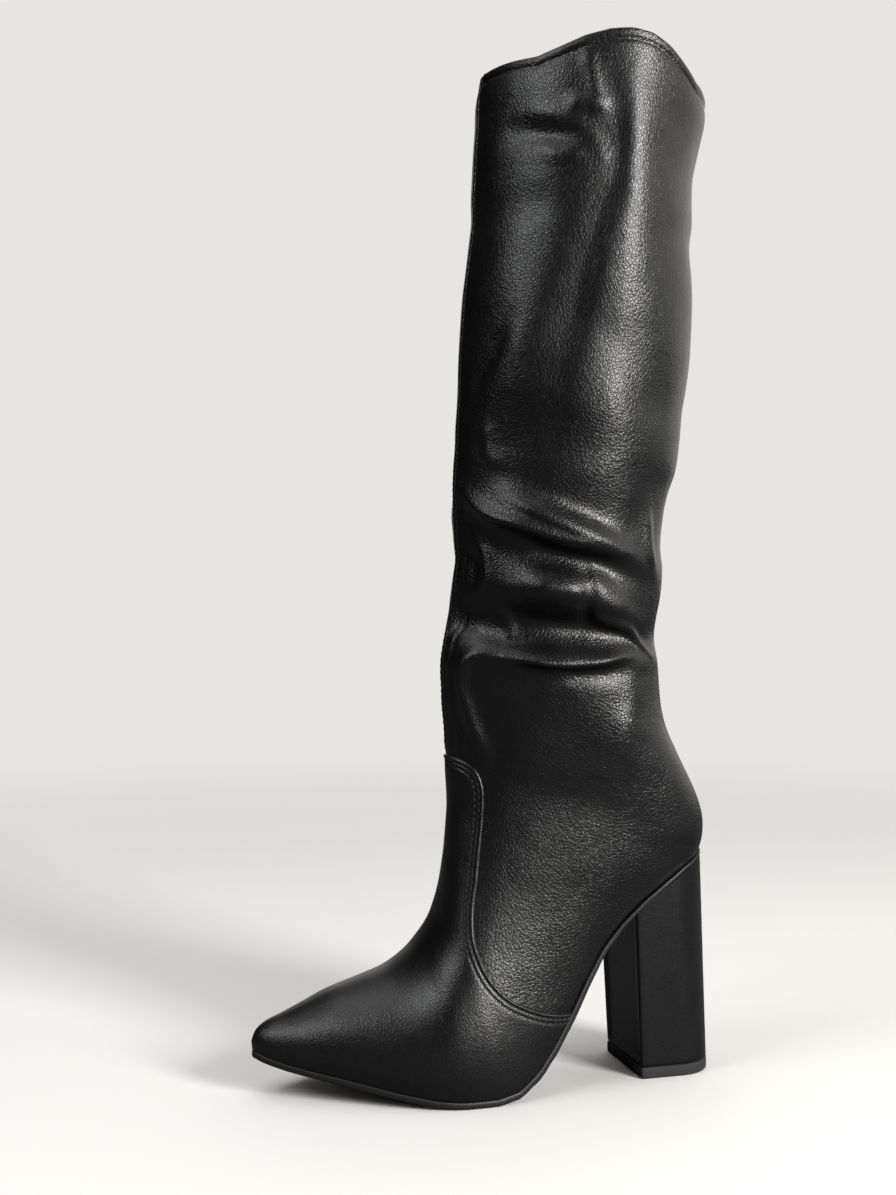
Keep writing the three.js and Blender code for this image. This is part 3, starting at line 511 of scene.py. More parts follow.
def join_copies(name, model, places):
    """Copies of a small model, one for each matrix, joined to one mesh."""
    count = len(model.data.vertices)
    shape = np.empty(count * 3, np.float32)
    model.data.vertices.foreach_get("co", shape)
    shape = shape.reshape(-1, 3)
    faces = [list(p.vertices) for p in model.data.polygons]
    all_points, all_faces = [], []
    for k, (turn, at) in enumerate(places):
        all_points.append(shape @ np.asarray(turn).T + at)
        all_faces += [[i + k * count for i in face] for face in faces]
    mesh = bpy.data.meshes.new(name)
    mesh.from_pydata(np.vstack(all_points).tolist(), [], all_faces)
    mesh.shade_smooth()
    return add_object(name, mesh)


def report(piece):
    mesh = piece.data
    mesh.calc_loop_triangles()
    size = [round(v * 1000) for v in piece.dimensions]
    print(piece.name, len(mesh.loop_triangles), "triangles,", size, "mm")


# %% [markdown]
# ## Where the vamp ends
# The vamp is the front of the shoe. Its edge lies over the leg's leather: it runs round the foot
# beside the sole, turns up beside the instep and crosses the front as a short rounded tongue. The
# edge is a line of places on the last, the same on both sides, and most pieces ask how far they
# lie from it, in millimetres, inside the vamp or outside.

# %% The vamp's edge
# Place round the foot, row
VAMP_EDGE = np.array([
    [0, 22.57], [0.068, 22.58], [0.14, 22.57], [0.19, 22.22], [0.24, 21.29], [0.271, 20.34],
    [0.288, 19.22], [0.295, 18.31], [0.304, 17.21], [0.319, 15.95], [0.332, 15.19], [0.347, 14.19],
    [0.377, 13.35], [0.42, 12.75], [0.482, 12.52], [0.548, 12.51], [0.619, 12.73], [0.695, 13.15],
    [0.766, 13.72], [0.836, 14.15], [0.918, 14.59], [1, 15.0]])
EDGE_PLACES = 700
edge_walk = smooth_row(VAMP_EDGE, np.linspace(0, len(VAMP_EDGE) - 1, EDGE_PLACES), [0, 1])
edge_half = edge_walk
edge_walk = np.vstack([edge_walk[::-1] * [-1, 1], edge_walk[1:]])
edge_line = last_point(edge_walk[:, 1], edge_walk[:, 0])
edge_tree = kdtree.KDTree(len(edge_line))
for k, point in enumerate(edge_line):
    edge_tree.insert(point, k)
edge_tree.balance()


def inside_vamp(s, w, points):
    """Distance in millimetres from the vamp's edge, above 0 where the vamp is."""
    flat = points.reshape(-1, 3)
    near = np.array([edge_tree.find(p)[1] for p in flat])
    best = np.full(len(flat), 1e9)
    for step in (-1, 0):
        k = np.clip(near + step, 0, len(edge_line) - 2)
        start, run = edge_line[k], edge_line[k + 1] - edge_line[k]
        t = np.clip(((flat - start) * run).sum(1) / np.maximum((run * run).sum(1), 1e-12), 0, 1)
        best = np.minimum(best, np.linalg.norm(flat - start - t[:, None] * run, axis=1))
    reached = s.reshape(-1) < np.interp(np.abs(w.reshape(-1)), edge_half[:, 0], edge_half[:, 1])
    return np.where(reached, best, -best).reshape(points.shape[:-1])


print("the vamp's edge is", round(float(walked(edge_line)[-1])), "mm long")

# %% [markdown]
# ## The leg
# The leg is one wide sheet, closed by a seam down the back and another down the front. A cylinder
# with a displacement texture would be quicker, but its creases would lie anywhere. The grid's
# columns stand closer beside the two seams, and its rows closer at the collar, where the edge is
# rolled over and sewn down inside as a facing. Nothing is laid deep under the vamp.

# %% Lay the leg
# Millimetres of the first columns from each seam, and how many more lie between
FRONT_COLUMNS = np.array([0, 0.35, 0.8, 1.4, 2.1, 3.0, 4.2])
MIDDLE_COLUMNS = 96
# Radius of the rolled edge, height of the facing, and how far the leg runs on under the vamp
RIM = 0.95
FACING = 14.0
TURN_IN = 9.0
# Millimetres from one row to the next at the collar
COLLAR_STEP = 11.5
# Heights where the grooves of both seams begin; the strip's ends and the edge of its half
FRONT_SEAM_LOW, BACK_SEAM_LOW = 150.0, 60.0
STRIP_LOW, STRIP_HIGH, STRIP_EDGE = 148, 302, 8.8


def leg_columns(s):
    """Places round the leg for each row: close to the seams by the millimetre, then even."""
    front = FRONT_COLUMNS[None] / np.interp(s, girth_rows, FRONT_SPEED)[:, None]
    back = 1 - FRONT_COLUMNS[None] / np.interp(s, girth_rows, BACK_SPEED)[:, None]
    share = np.linspace(0, 1, MIDDLE_COLUMNS + 1)[None, 1:-1]
    middle = front[:, -1:] + (back[:, -1:] - front[:, -1:]) * share
    half = np.hstack([front, middle, back[:, ::-1]])
    return np.hstack([-half[:, :0:-1], half])


def seam_groove(s, w, points):
    """A groove with a soft ridge on each side on both seams, and the strip sewn on low in front."""
    z = points[..., 2]
    front = np.abs(w) * np.interp(s, girth_rows, FRONT_SPEED)
    back = (1 - np.abs(w)) * np.interp(s, girth_rows, BACK_SPEED)
    height = np.zeros(w.shape)
    for off, low in ((front, FRONT_SEAM_LOW), (back, BACK_SEAM_LOW)):
        fade = soften((z - low) / 20)
        height += fade * (0.35 * np.exp(-((off - 2.2) / 1.1) ** 2) - 0.75 * np.exp(-(off / 0.75) ** 2))
    band = soften((z - STRIP_LOW) / 10) * soften((STRIP_HIGH - z) / 24)
    groove = 0.45 * np.exp(-((front - STRIP_EDGE) / 0.9) ** 2)
    return height + band * (0.35 * soften((8.6 - front) / 1.3) - groove)


def collar_roll(down):
    """The rolled edge of the collar: a soft bead with a groove under it; down is the way from it."""
    return 0.35 * np.exp(-((down - 2.0) / 1.8) ** 2) - 0.40 * np.exp(-((down - 5.0) / 1.1) ** 2)


def leather_skin(s, w):
    """The folded outer face of the leg, in millimetres, and its outward direction."""
    points = last_point(s, w)
    out, up = last_normal(s, w)
    out = out * OUTWARD
    down = (LAST_ROW - np.broadcast_to(s, w.shape)) * COLLAR_STEP
    height = relief(s, w, points) + seam_groove(s, w, points) + collar_roll(down)
    return low_limit(points + out * height[..., None], 0.12), out, up


rim_row = LAST_ROW - RIM / COLLAR_STEP
rows = np.concatenate([
    np.arange(11.6, 25.9, 0.24), np.arange(25.9, LAST_ROW - 0.9, 0.125),
    np.linspace(LAST_ROW - 0.9, rim_row, 22)])
columns = leg_columns(rows)
rows_2d = np.broadcast_to(rows[:, None], columns.shape)
skin, skin_out, skin_up = leather_skin(rows_2d, columns)
top, top_out, top_up = skin[-1], skin_out[-1], skin_up[-1]
level_up = np.cross(top_out, np.cross(top_up, top_out))
level_up /= np.linalg.norm(level_up, axis=-1, keepdims=True)
centre = top - RIM * top_out
rim = [centre + RIM * (np.cos(t) * top_out + np.sin(t) * level_up) for t in np.linspace(0, np.pi, 9)[1:]]
facing = [rim[-1] - level_up * d for d in (0.8, 1.8, 3.2, 5, 7.5, 10, 12.2, FACING - 0.6, FACING)]
facing[-1] = facing[-1] + top_out * 0.7
sheet = np.concatenate([skin, np.array(rim), np.array(facing)])
leg_leather = lay_sheet("leg_leather", to_frame(sheet))

covered = inside_vamp(rows_2d, columns, last_point(rows_2d, columns)) > TURN_IN
covered = np.vstack([covered, np.zeros((len(sheet) - len(rows), columns.shape[1]), bool)]).ravel()
work = bmesh.new()
work.from_mesh(leg_leather.data)
work.verts.ensure_lookup_table()
bmesh.ops.delete(work, geom=[v for v in work.verts if covered[v.index]], context="VERTS")
work.to_mesh(leg_leather.data)
work.free()
tidy_mesh(leg_leather)
report(leg_leather)

# %% [markdown]
# ## The vamp
# A shoemaker cuts the vamp from a flat pattern and pulls it over the last. The same is done here:
# a flat grid holds the places (w, row), lines are ruled on it along the edge and the stitching,
# what lies outside the edge is cut away, and only then each point goes to its place on the last.
# A boolean cut would leave ragged triangles. The ruled lines give the edge a clean round section.

# %% Cut the vamp flat and pull it over the last
# Thickness, radius of the edge, and the stitches' distances from it
VAMP_LIFT = 1.25
EDGE_ROUND = 0.9
STITCH_LINES = (2.4, 4.6)
VAMP_LAST_ROW = 22.9
# Distances from the edge at which lines are ruled on the pattern
RULED = (0.0, 0.08, 0.25, 0.5, 0.9, 1.4, 2.0, 2.4, 2.8, 3.6, 4.2, 4.6, 5.0)


def even_rows(low, high, step):
    """Rows of the last that lie about a step apart, measured beside the instep."""
    fine = np.linspace(low, high, 1200)
    walk = np.zeros(len(fine))
    for w in (0.0, 0.35, 0.8):
        walk = np.maximum(walk, walked(last_point(fine, w)))
    return np.interp(np.linspace(0, walk[-1], int(walk[-1] / step) + 1), walk, fine)


def vamp_height(inside):
    """Thickness of the vamp over the last: a raised rounded edge, then two stitched channels."""
    round_part = np.sqrt(np.clip(1 - (1 - np.clip(inside / EDGE_ROUND, 0, 1)) ** 2, 0, 1))
    height = -0.1 + (VAMP_LIFT + 0.1) * round_part + 0.4 * np.exp(-((inside - 1.1) / 0.8) ** 2)
    for line in STITCH_LINES:
        height = height - 0.34 * np.exp(-((inside - line) / 0.36) ** 2)
    return height


vamp_rows = even_rows(0.0, VAMP_LAST_ROW, 1.25)
vamp_columns = np.concatenate([-np.linspace(1, 0, 96)[:-1], np.linspace(0, 1, 96)])
flat_w, flat_s = np.meshgrid(vamp_columns, vamp_rows)
vamp_leather = lay_sheet("vamp_leather", np.stack([flat_w, flat_s, np.zeros_like(flat_w)], -1))
distance = inside_vamp(flat_s, flat_w, last_point(flat_s, flat_w)).ravel()

pattern = bmesh.new()
pattern.from_mesh(vamp_leather.data)
pattern.verts.ensure_lookup_table()
edge_layer = pattern.verts.layers.float.new("inside")
for v in pattern.verts:
    v[edge_layer] = distance[v.index]
for level in RULED:
    ruled = [v for v in pattern.verts if abs(v[edge_layer] - level) < 1e-6]
    for e in list(pattern.edges):
        a, b = e.verts
        low, high = a[edge_layer] - level, b[edge_layer] - level
        if low * high < 0:
            share = low / (low - high)
            new_vert = bmesh.utils.edge_split(e, a, share)[1]
            new_vert[edge_layer] = level
            ruled.append(new_vert)
    bmesh.ops.connect_verts(pattern, verts=ruled)
bmesh.ops.delete(pattern, geom=[v for v in pattern.verts if v[edge_layer] < -1e-6], context="VERTS")
pattern.verts.ensure_lookup_table()
flat = np.array([(v.co.x, v.co.y, v[edge_layer]) for v in pattern.verts])
pattern.to_mesh(vamp_leather.data)
pattern.free()

plain = last_point(flat[:, 1], flat[:, 0])
outward = last_normal(flat[:, 1], flat[:, 0])[0] * OUTWARD
height = vamp_height(flat[:, 2]) + 0.35 * hide_unevenness(plain)
lasted = low_limit(plain + outward * height[:, None], 0.14)
vamp_leather.data.vertices.foreach_set("co", to_frame(lasted).astype(np.float32).ravel())
tidy_mesh(vamp_leather, 0.005 * MM)
report(vamp_leather)

# %% [markdown]
# ## Stitches
# Each stitch is a short length of thread pressed into its channel. A texture could fake them, but
# real ones catch the light from every side. One small rounded bar is modelled, with a few dozen
# faces, and copied along the seams, each copy turned along the line it sews.

# %% Sew the vamp
STITCH_STEP = 3.0
STITCH_LENGTH = 2.2
# How deep the middle of the thread lies in the channel, and in the leg's leather
CHANNEL_DEPTH = 0.24
FRONT_DEPTH = 0.16
FRONT_STITCHES = 2.4
FRONT_LAST_ROW = 45.0


def inset_line(inset):
    """Places on the last that lie inside the vamp's edge by a distance, as rows and places round."""
    w, s = edge_walk[:, 0].copy(), edge_walk[:, 1].copy()
    along = np.gradient(edge_line, axis=0)
    along /= np.linalg.norm(along, axis=1, keepdims=True)
    out = last_normal(s, w)[0] * OUTWARD
    inward = np.cross(out, along)
    trial = last_point(s - 0.05, w) - edge_line
    inward *= np.sign((inward * trial).sum(1))[:, None]
    for k in range(1, len(inward)):
        if inward[k] @ inward[k - 1] < 0:
            inward[k] = -inward[k]
    target = edge_line + inward * inset
    for _ in range(4):
        here = last_point(s, w)
        by_s = (last_point(s + 0.02, w) - here) / 0.02
        by_w = (last_point(s, w + 0.001) - here) / 0.001
        miss = target - here
        ss, sw, ww = (by_s * by_s).sum(1), (by_s * by_w).sum(1), (by_w * by_w).sum(1)
        ms, mw = (miss * by_s).sum(1), (miss * by_w).sum(1)
        det = np.maximum(ss * ww - sw * sw, 1e-9)
        s = np.clip(s + (ms * ww - mw * sw) / det, 0, LAST_ROW)
        w = np.clip(w + (mw * ss - ms * sw) / det, -1, 1)
    return s, w


def stitch_places(points, outward):
    """A turning matrix and a place, in metres, for each stitch along a line."""
    run = walked(points)

    def along(table, at):
        return np.array([np.interp(at, run, table[:, c]) for c in range(3)])

    places = []
    for at in np.arange(STITCH_STEP / 2, run[-1], STITCH_STEP):
        middle, out = along(points, at), along(outward, at)
        x = along(points, at + 0.6) - along(points, at - 0.6)
        if np.linalg.norm(x) < 1e-6:
            continue
        x /= np.linalg.norm(x)
        out -= x * (out @ x)
        out /= np.linalg.norm(out)
        y = np.cross(out, x)
        turn = np.stack([x, y, out], -1)
        frame_turn = to_frame(turn.T + middle) - to_frame(middle)
        places.append((frame_turn.T / MM, to_frame(middle)))
    return places


select_nothing()
bpy.ops.mesh.primitive_uv_sphere_add(segments=8, ring_count=5, radius=0.5 * STITCH_LENGTH * MM,
                                     rotation=(0, math.pi / 2, 0))
stitch_model = bpy.context.object
stitch_model.name = stitch_model.data.name = "stitch_model"
bpy.ops.object.transform_apply(location=True, rotation=True, scale=True)
bpy.ops.object.mode_set(mode="EDIT")
bpy.ops.mesh.select_all(action="SELECT")
bpy.ops.transform.resize(value=(1, 0.30, 0.26))
bpy.ops.object.mode_set(mode="OBJECT")

vamp_places = []
for inset in STITCH_LINES:
    s, w = inset_line(inset)
    out = last_normal(s, w)[0] * OUTWARD
    line = last_point(s, w) + out * (VAMP_LIFT - CHANNEL_DEPTH)
    use = line[:, 2] > sole_top(line[:, 0]) + 1.2
    vamp_places += stitch_places(line[use], out[use])
vamp_stitches = join_copies("vamp_stitches", stitch_model, vamp_places)
report(vamp_stitches)

# %% Sew the front of the leg
band_rows = np.linspace(VAMP_LAST_ROW, FRONT_LAST_ROW, 500)
front_places = []
for side in (-1, 1):
    w = side * FRONT_STITCHES / np.interp(band_rows, girth_rows, FRONT_SPEED)
    line, out, _ = leather_skin(band_rows[:, None], w[:, None])
    front_places += stitch_places(line[:, 0] - out[:, 0] * FRONT_DEPTH, out[:, 0])
front_stitches = join_copies("front_stitches", stitch_model, front_places)
bpy.data.objects.remove(stitch_model)
report(front_stitches)

# %% [markdown]
# ## The lining
# Inside, the leg is lined with soft smooth leather, from under the facing down to the insole. It
# could be the same sheet as the outside with a thickness, but the inside doesn't show every crease,
# so it is a coarser sheet of its own, and it lies just inside the wall.

# %% Line the leg
LINING_DEPTH = 2.0
rows = np.concatenate([even_rows(0.3, 25.5, 3.0), np.arange(26, LAST_ROW - 1.1, 0.35), [LAST_ROW - 1.15]])
half = np.linspace(0, 1, 45)
columns = np.broadcast_to(np.concatenate([-half[:0:-1], half]), (len(rows), 89))
rows_2d = np.broadcast_to(rows[:, None], columns.shape)
points = last_point(rows_2d, columns)
out = last_normal(rows_2d, columns)[0] * OUTWARD
depth = LINING_DEPTH - 0.85 * relief(rows_2d, columns, points)
inner = low_limit(points - out * depth[..., None], 1.0)
leg_lining = lay_sheet("leg_lining", to_frame(inner))
tidy_mesh(leg_lining, inwards=True)
report(leg_lining)

# %% [markdown]
# ## The sole
# A thin leather sole runs from the toe's tip over the arch to the heel seat. It is a closed band:
# for every section of the foot one ring goes over the top, round the edge and back below. Sections
# could be bridged one by one in edit mode; laid as a sheet and merged, they close in one step.

# %% Build the sole
SOLE_THICKNESS = 3.2
SEAT_THICKNESS = 2.2


def sole_slope(a):
    return (sole_top(a + 3) - sole_top(a - 3)) / 6


def sole_grow(a):
    return soften((a - 46) / 30)


def sole_under(a):
    thick = SEAT_THICKNESS + (SOLE_THICKNESS - SEAT_THICKNESS) * sole_grow(a)
    return np.maximum(sole_top(a) - thick * np.hypot(1, sole_slope(a)), 0)


def feather_line(steps):
    """The foot's outline on the sole, one closed loop seen from above, from the toe round to it."""
    s = np.concatenate([[0], np.linspace(0.25, 24.75, steps), [LAST_FOOT]])
    row = smooth_row(SOLE_ROWS, s, [0, 1, 2, 3])
    outer = np.column_stack([row[:, 0], row[:, 2]])
    inner = np.column_stack([row[:, 0], -row[:, 3]])
    return outer, inner


def beside(outline, outwards):
    """Moves an outline seen from above outwards; the outline goes from the toe to the heel."""
    outer, inner = outline
    loop = np.vstack([outer, inner[-2:0:-1]])
    along = np.roll(loop, -1, 0) - np.roll(loop, 1, 0)
    along /= np.maximum(np.linalg.norm(along, axis=1, keepdims=True), 1e-9)
    out = np.column_stack([along[:, 1], -along[:, 0]])
    centre = np.array([110.0, 0.0])
    if (out * (loop - centre)).sum() < 0:
        out = -out
    moved = loop + out * np.broadcast_to(outwards, len(loop))[:, None]
    n = len(outer)
    return moved[:n], np.vstack([moved[:1], moved[:n - 2:-1]])


outline = feather_line(110)


def closed_band(name, levels, outwards, place, steps):
    """A closed body from the outline: one ring for each level, from the top down, and two faces."""
    rings = [[place(ring, *level) for ring in beside(outline, outwards - level[0])] for level in levels]
    outer, inner = [list(half) for half in zip(*rings)]
    across = np.linspace(0, 1, steps)[1:-1]
    over = [inner[0] + (outer[0] - inner[0]) * t for t in across]
    under = [outer[-1] + (inner[-1] - outer[-1]) * t for t in across]
    piece = lay_sheet(name, to_frame(np.array(over + outer + under + inner[::-1] + [over[0]])))
    tidy_mesh(piece, 0.01 * MM)
    return piece


def edge_place(ring, inset, share):
    top_z, under_z = sole_top(ring[:, 0]), sole_under(ring[:, 0])
    return np.column_stack([ring, top_z + (under_z - top_z) * share])


loop_a = np.concatenate([outline[0][:, 0], outline[1][-2:0:-1, 0]])
margin = 0.7 + 0.8 * sole_grow(loop_a)
# Edge of the sole from top to bottom: inset from the edge, share of its height
SOLE_EDGE = [(2.2, 0), (0.75, 0), (0.42, 0.03), (0.14, 0.11), (0, 0.24), (0, 0.5), (0.02, 0.8),
             (0.15, 0.92), (0.45, 0.99), (2.2, 1)]
sole_leather = closed_band("sole_leather", SOLE_EDGE, margin, edge_place, 13)
soften_edges(sole_leather, 50)
report(sole_leather)

# %% [markdown]
# ## The heel
# The tall heel is a wooden or moulded block covered with the same leather. Round behind, it is cut
# flat in front, at the breast, where the cover leaves a narrow rim and the middle lies a little
# deeper. A stack of closed outlines makes it, wider at the seat than at the ground.

# %% Build the heel
TOP_PIECE = 5.4
HEEL_BASE = dict(back=0.0, length=40.2, half=22.6, curve=20.0, power=2.3)
HEEL_SEAT = dict(back=2.6, length=41.2, half=24.4, curve=24.0, power=2.0)
BREAST_CORNER = 1.2


def heel_outline(back, length, half, curve, power, inset=0.0):
    """Closed outline seen from above, from the breast's middle round the back and home again."""
    turn = np.linspace(0, np.pi / 2, 22)
    a = curve - (curve - inset) * np.cos(turn) ** (2 / power)
    b = (half - inset) * np.sin(turn) ** (2 / power)
    flank_a = np.linspace(curve, length - inset - BREAST_CORNER, 8)[1:]
    corner = np.linspace(0, np.pi / 2, 6)[1:]
    corner_a = length - inset - BREAST_CORNER + BREAST_CORNER * np.sin(corner)
    corner_b = half - inset - BREAST_CORNER + BREAST_CORNER * np.cos(corner)
    face_b = np.linspace(half - inset - BREAST_CORNER, 0, 14)[1:]
    a = np.concatenate([a, flank_a, corner_a, np.full(len(face_b), length - inset)])
    b = np.concatenate([b, np.full(len(flank_a), half - inset), corner_b, face_b])
    a, b = np.concatenate([a, a[-2:0:-1]]), np.concatenate([b, -b[-2:0:-1]])
    return np.column_stack([a + back, b])


def breast_depth(b, half, up):
    """How deep the panel in the breast lies behind its rim."""
    rim = soften((half - 3.0 - np.abs(b)) / 0.7)
    return 0.9 * rim * soften((up - 0.02) / 0.03)


def heel_ring(share, inset):
    """One outline of the heel, at a share of the way from the top piece to the seat."""
    low = TOP_PIECE + 0.3
    base, seat = heel_outline(**HEEL_BASE, inset=inset), heel_outline(**HEEL_SEAT, inset=inset)
    flat = base + (seat - base) * share
    seat_z = sole_under(heel_outline(**HEEL_SEAT)[:, 0]) - 0.15
    z = low + (seat_z - low) * share
    half = HEEL_BASE["half"] + (HEEL_SEAT["half"] - HEEL_BASE["half"]) * share
    breast = flat[:, 0] > flat[:, 0].max() - 0.35
    flat[:, 0] -= np.where(breast, breast_depth(flat[:, 1], half, share), 0)
    return np.column_stack([flat, z])


def stacked_block(name, rings, angle):
    """A closed block from outlines laid one above the other."""
    rings = np.array(rings)
    piece = lay_sheet(name, to_frame(np.concatenate([rings, rings[:, :1]], 1)))
    tidy_mesh(piece, 0.005 * MM, fill=True)
    soften_edges(piece, angle)
    return piece


shares = np.concatenate([[0, 0.004, 0.01, 0.02, 0.035, 0.05, 0.07], np.linspace(0.1, 0.97, 26), [0.985, 1]])
insets = [0.45, 0.15, 0.03] + [0] * (len(shares) - 3)
heel_cover = stacked_block("heel_cover", [heel_ring(*level) for level in zip(shares, insets)], 45)
report(heel_cover)

# %% Build the top piece
# Height, inset from the widest outline
TOP_PIECE_LEVELS = [(0, 0.9), (0.15, 0.4), (0.5, 0.08), (1.0, 0), (4.6, 0), (5.2, 0.1), (TOP_PIECE, 0.5)]
piece_rings = []
for z, inset in TOP_PIECE_LEVELS:
    ring = heel_outline(**HEEL_BASE, inset=inset - 0.15)
    piece_rings.append(np.column_stack([ring, np.full(len(ring), z)]))
top_piece_rubber = stacked_block("top_piece_rubber", piece_rings, 40)
report(top_piece_rubber)

# %% [markdown]
# ## The insole
# The sock lining covers the insole board. It shows only from above, deep in the leg, as a soft
# pad with a rounded edge. It is laid the same way as the sole, a little inside its outline.

# %% Lay the insole
PAD_INSET = 3.4
# Edge of the pad from top to bottom: further inset, height over the sole
PAD_EDGE = [(2.2, 2.7), (1.0, 2.5), (0.3, 2.0), (0.0, 1.4), (0.0, 0.4)]


def pad_place(ring, inset, lift):
    a = np.clip(ring[:, 0], 6.5 + inset, 211 - inset)
    middle = (sole_number(a, 2) - sole_number(a, 3)) / 2
    side = middle + (ring[:, 1] - middle) * soften((212 - a) / 16)
    return np.column_stack([a, side, sole_top(a) + lift * np.hypot(1, sole_slope(a))])


insole_pad = closed_band("insole_pad", PAD_EDGE, -PAD_INSET, pad_place, 15)
report(insole_pad)

# %% [markdown]
# ## Shared effects
# Leather is a field of small pebbles with finer creases between them, and slow changes of tone
# where it was stretched or handled. Both effects are node groups with named inputs, so that the
# leg, the vamp and the heel's cover use them with their own numbers. A picture of leather could be
# wrapped on instead, but it would stretch, show its seams and blur close by.

# %% Node groups
def new_group(name, inputs, outputs):
    group = bpy.data.node_groups.new(name, "ShaderNodeTree")
    for label, kind, value in inputs:
        socket = group.interface.new_socket(label, in_out="INPUT", socket_type=kind)
        socket.default_value = value
    for label, kind in outputs:
        group.interface.new_socket(label, in_out="OUTPUT", socket_type=kind)
    return group, group.nodes.new("NodeGroupInput"), group.nodes.new("NodeGroupOutput")


def feed(tree, value, socket):
    """Gives a socket a value, or links it where the value is another node's output."""
    if isinstance(value, bpy.types.NodeSocket):
        tree.links.new(value, socket)
    else:
        socket.default_value = value


def add_node(tree, kind, **values):
    """A node with its settings and inputs set by name; spaces are written as underscores."""
    node = tree.nodes.new(kind)
    for key, value in values.items():
        if hasattr(node, key):
            setattr(node, key, value)
        else:
            feed(tree, value, node.inputs[key.replace("_", " ")])
    return node


def feed_all(tree, node, *values):
    """Feeds a node's inputs in their order and gives its first output."""
    for socket, value in zip(node.inputs, values):
        feed(tree, value, socket)
    return node.outputs[0]


def maths(tree, operation, *values):
    return feed_all(tree, add_node(tree, "ShaderNodeMath", operation=operation), *values)


def place_on(tree, kind="Object"):
    return add_node(tree, "ShaderNodeTexCoord").outputs[kind]


grain_group, grain_in, grain_out = new_group(
    "leather_grain",
    [("Pebbles per metre", "NodeSocketFloat", 1000.0), ("Pebble share", "NodeSocketFloat", 1.0),
     ("Wrinkle share", "NodeSocketFloat", 0.5)],
    [("Height", "NodeSocketFloat"), ("Pores", "NodeSocketFloat")])
tree = grain_group
place = place_on(tree)
warp = add_node(tree, "ShaderNodeTexNoise", Vector=place, Scale=260.0, Detail=2.0)
shift = add_node(tree, "ShaderNodeVectorMath", operation="MULTIPLY_ADD")
shifted = feed_all(tree, shift, warp.outputs["Color"], (0.0009,) * 3, place)
pebble = add_node(tree, "ShaderNodeTexVoronoi", feature="DISTANCE_TO_EDGE", Vector=shifted,
                  Scale=grain_in.outputs["Pebbles per metre"])
rounded = maths(tree, "POWER", maths(tree, "MULTIPLY", pebble.outputs["Distance"], 2.0), 0.55)
fine = add_node(tree, "ShaderNodeTexNoise", Vector=place, Scale=2600.0, Detail=3.0, Roughness=0.6)
wrinkle = add_node(tree, "ShaderNodeTexNoise", Vector=place, Scale=330.0, Detail=4.0, Roughness=0.62,
                   Distortion=0.6)
pebbled = maths(tree, "MULTIPLY", rounded, grain_in.outputs["Pebble share"])
wrinkled = maths(tree, "MULTIPLY", wrinkle.outputs["Fac"], grain_in.outputs["Wrinkle share"])
summed = maths(tree, "ADD", maths(tree, "ADD", pebbled, wrinkled),
               maths(tree, "MULTIPLY", fine.outputs["Fac"], 0.25))
feed(tree, summed, grain_out.inputs["Height"])
feed(tree, maths(tree, "SUBTRACT", 1.0, rounded), grain_out.inputs["Pores"])

wear_group, wear_in, wear_out = new_group(
    "slow_wear", [("Patches per metre", "NodeSocketFloat", 30.0)], [("Patches", "NodeSocketFloat")])
patch = add_node(wear_group, "ShaderNodeTexNoise", Vector=place_on(wear_group),
                 Scale=wear_in.outputs["Patches per metre"], Detail=5.0, Roughness=0.6)
spread = add_node(wear_group, "ShaderNodeMapRange", Value=patch.outputs["Fac"], From_Min=0.32, From_Max=0.68)
feed(wear_group, spread.outputs["Result"], wear_out.inputs["Patches"])
print("node groups:", grain_group.name, wear_group.name)

# %% [markdown]
# ## Leather, rubber and thread
# Every finish has its own material: a dark base whose tone changes a little, a roughness that
# follows the pores and the handling, and a bump from the grain. The leg's leather is matt with a
# clear pebble, the vamp and the heel's cover are drawn tighter and shine a little more.

# %% Materials
def start_material(name):
    made = bpy.data.materials.new(name)
    made.use_nodes = True
    tree = made.node_tree
    return made, tree, tree.nodes["Principled BSDF"]


def ramp_between(tree, factor, low, high):
    """A colour that goes from low to high with the factor."""
    mix = add_node(tree, "ShaderNodeMix", data_type="RGBA", Factor=factor, A=(*low, 1), B=(*high, 1))
    return mix.outputs["Result"]


def value_between(tree, factor, low, high):
    return add_node(tree, "ShaderNodeMapRange", Value=factor, To_Min=low, To_Max=high).outputs["Result"]


def set_face(tree, shader, tone, colours, dullness, rough, height, depth):
    """Base colour, roughness and bump of a finish, each from its own factor; depth in millimetres."""
    feed(tree, ramp_between(tree, tone, *colours), shader.inputs["Base Color"])
    feed(tree, value_between(tree, dullness, *rough), shader.inputs["Roughness"])
    bump = add_node(tree, "ShaderNodeBump", Strength=1.0, Distance=depth * MM, Height=height)
    feed(tree, bump.outputs["Normal"], shader.inputs["Normal"])


def leather(name, dark, light, rough, pebbles, pebble_share, wrinkle_share, depth):
    made, tree, shader = start_material(name)
    grain = add_node(tree, "ShaderNodeGroup", node_tree=grain_group, Pebbles_per_metre=pebbles,
                     Pebble_share=pebble_share, Wrinkle_share=wrinkle_share)
    pores = grain.outputs["Pores"]
    patches = add_node(tree, "ShaderNodeGroup", node_tree=wear_group).outputs["Patches"]
    tone = maths(tree, "MULTIPLY", patches, maths(tree, "SUBTRACT", 1.15, pores))
    dullness = maths(tree, "ADD", maths(tree, "MULTIPLY", patches, 0.6), maths(tree, "MULTIPLY", pores, 0.4))
    set_face(tree, shader, tone, (dark, light), dullness, rough, grain.outputs["Height"], depth)
    return made


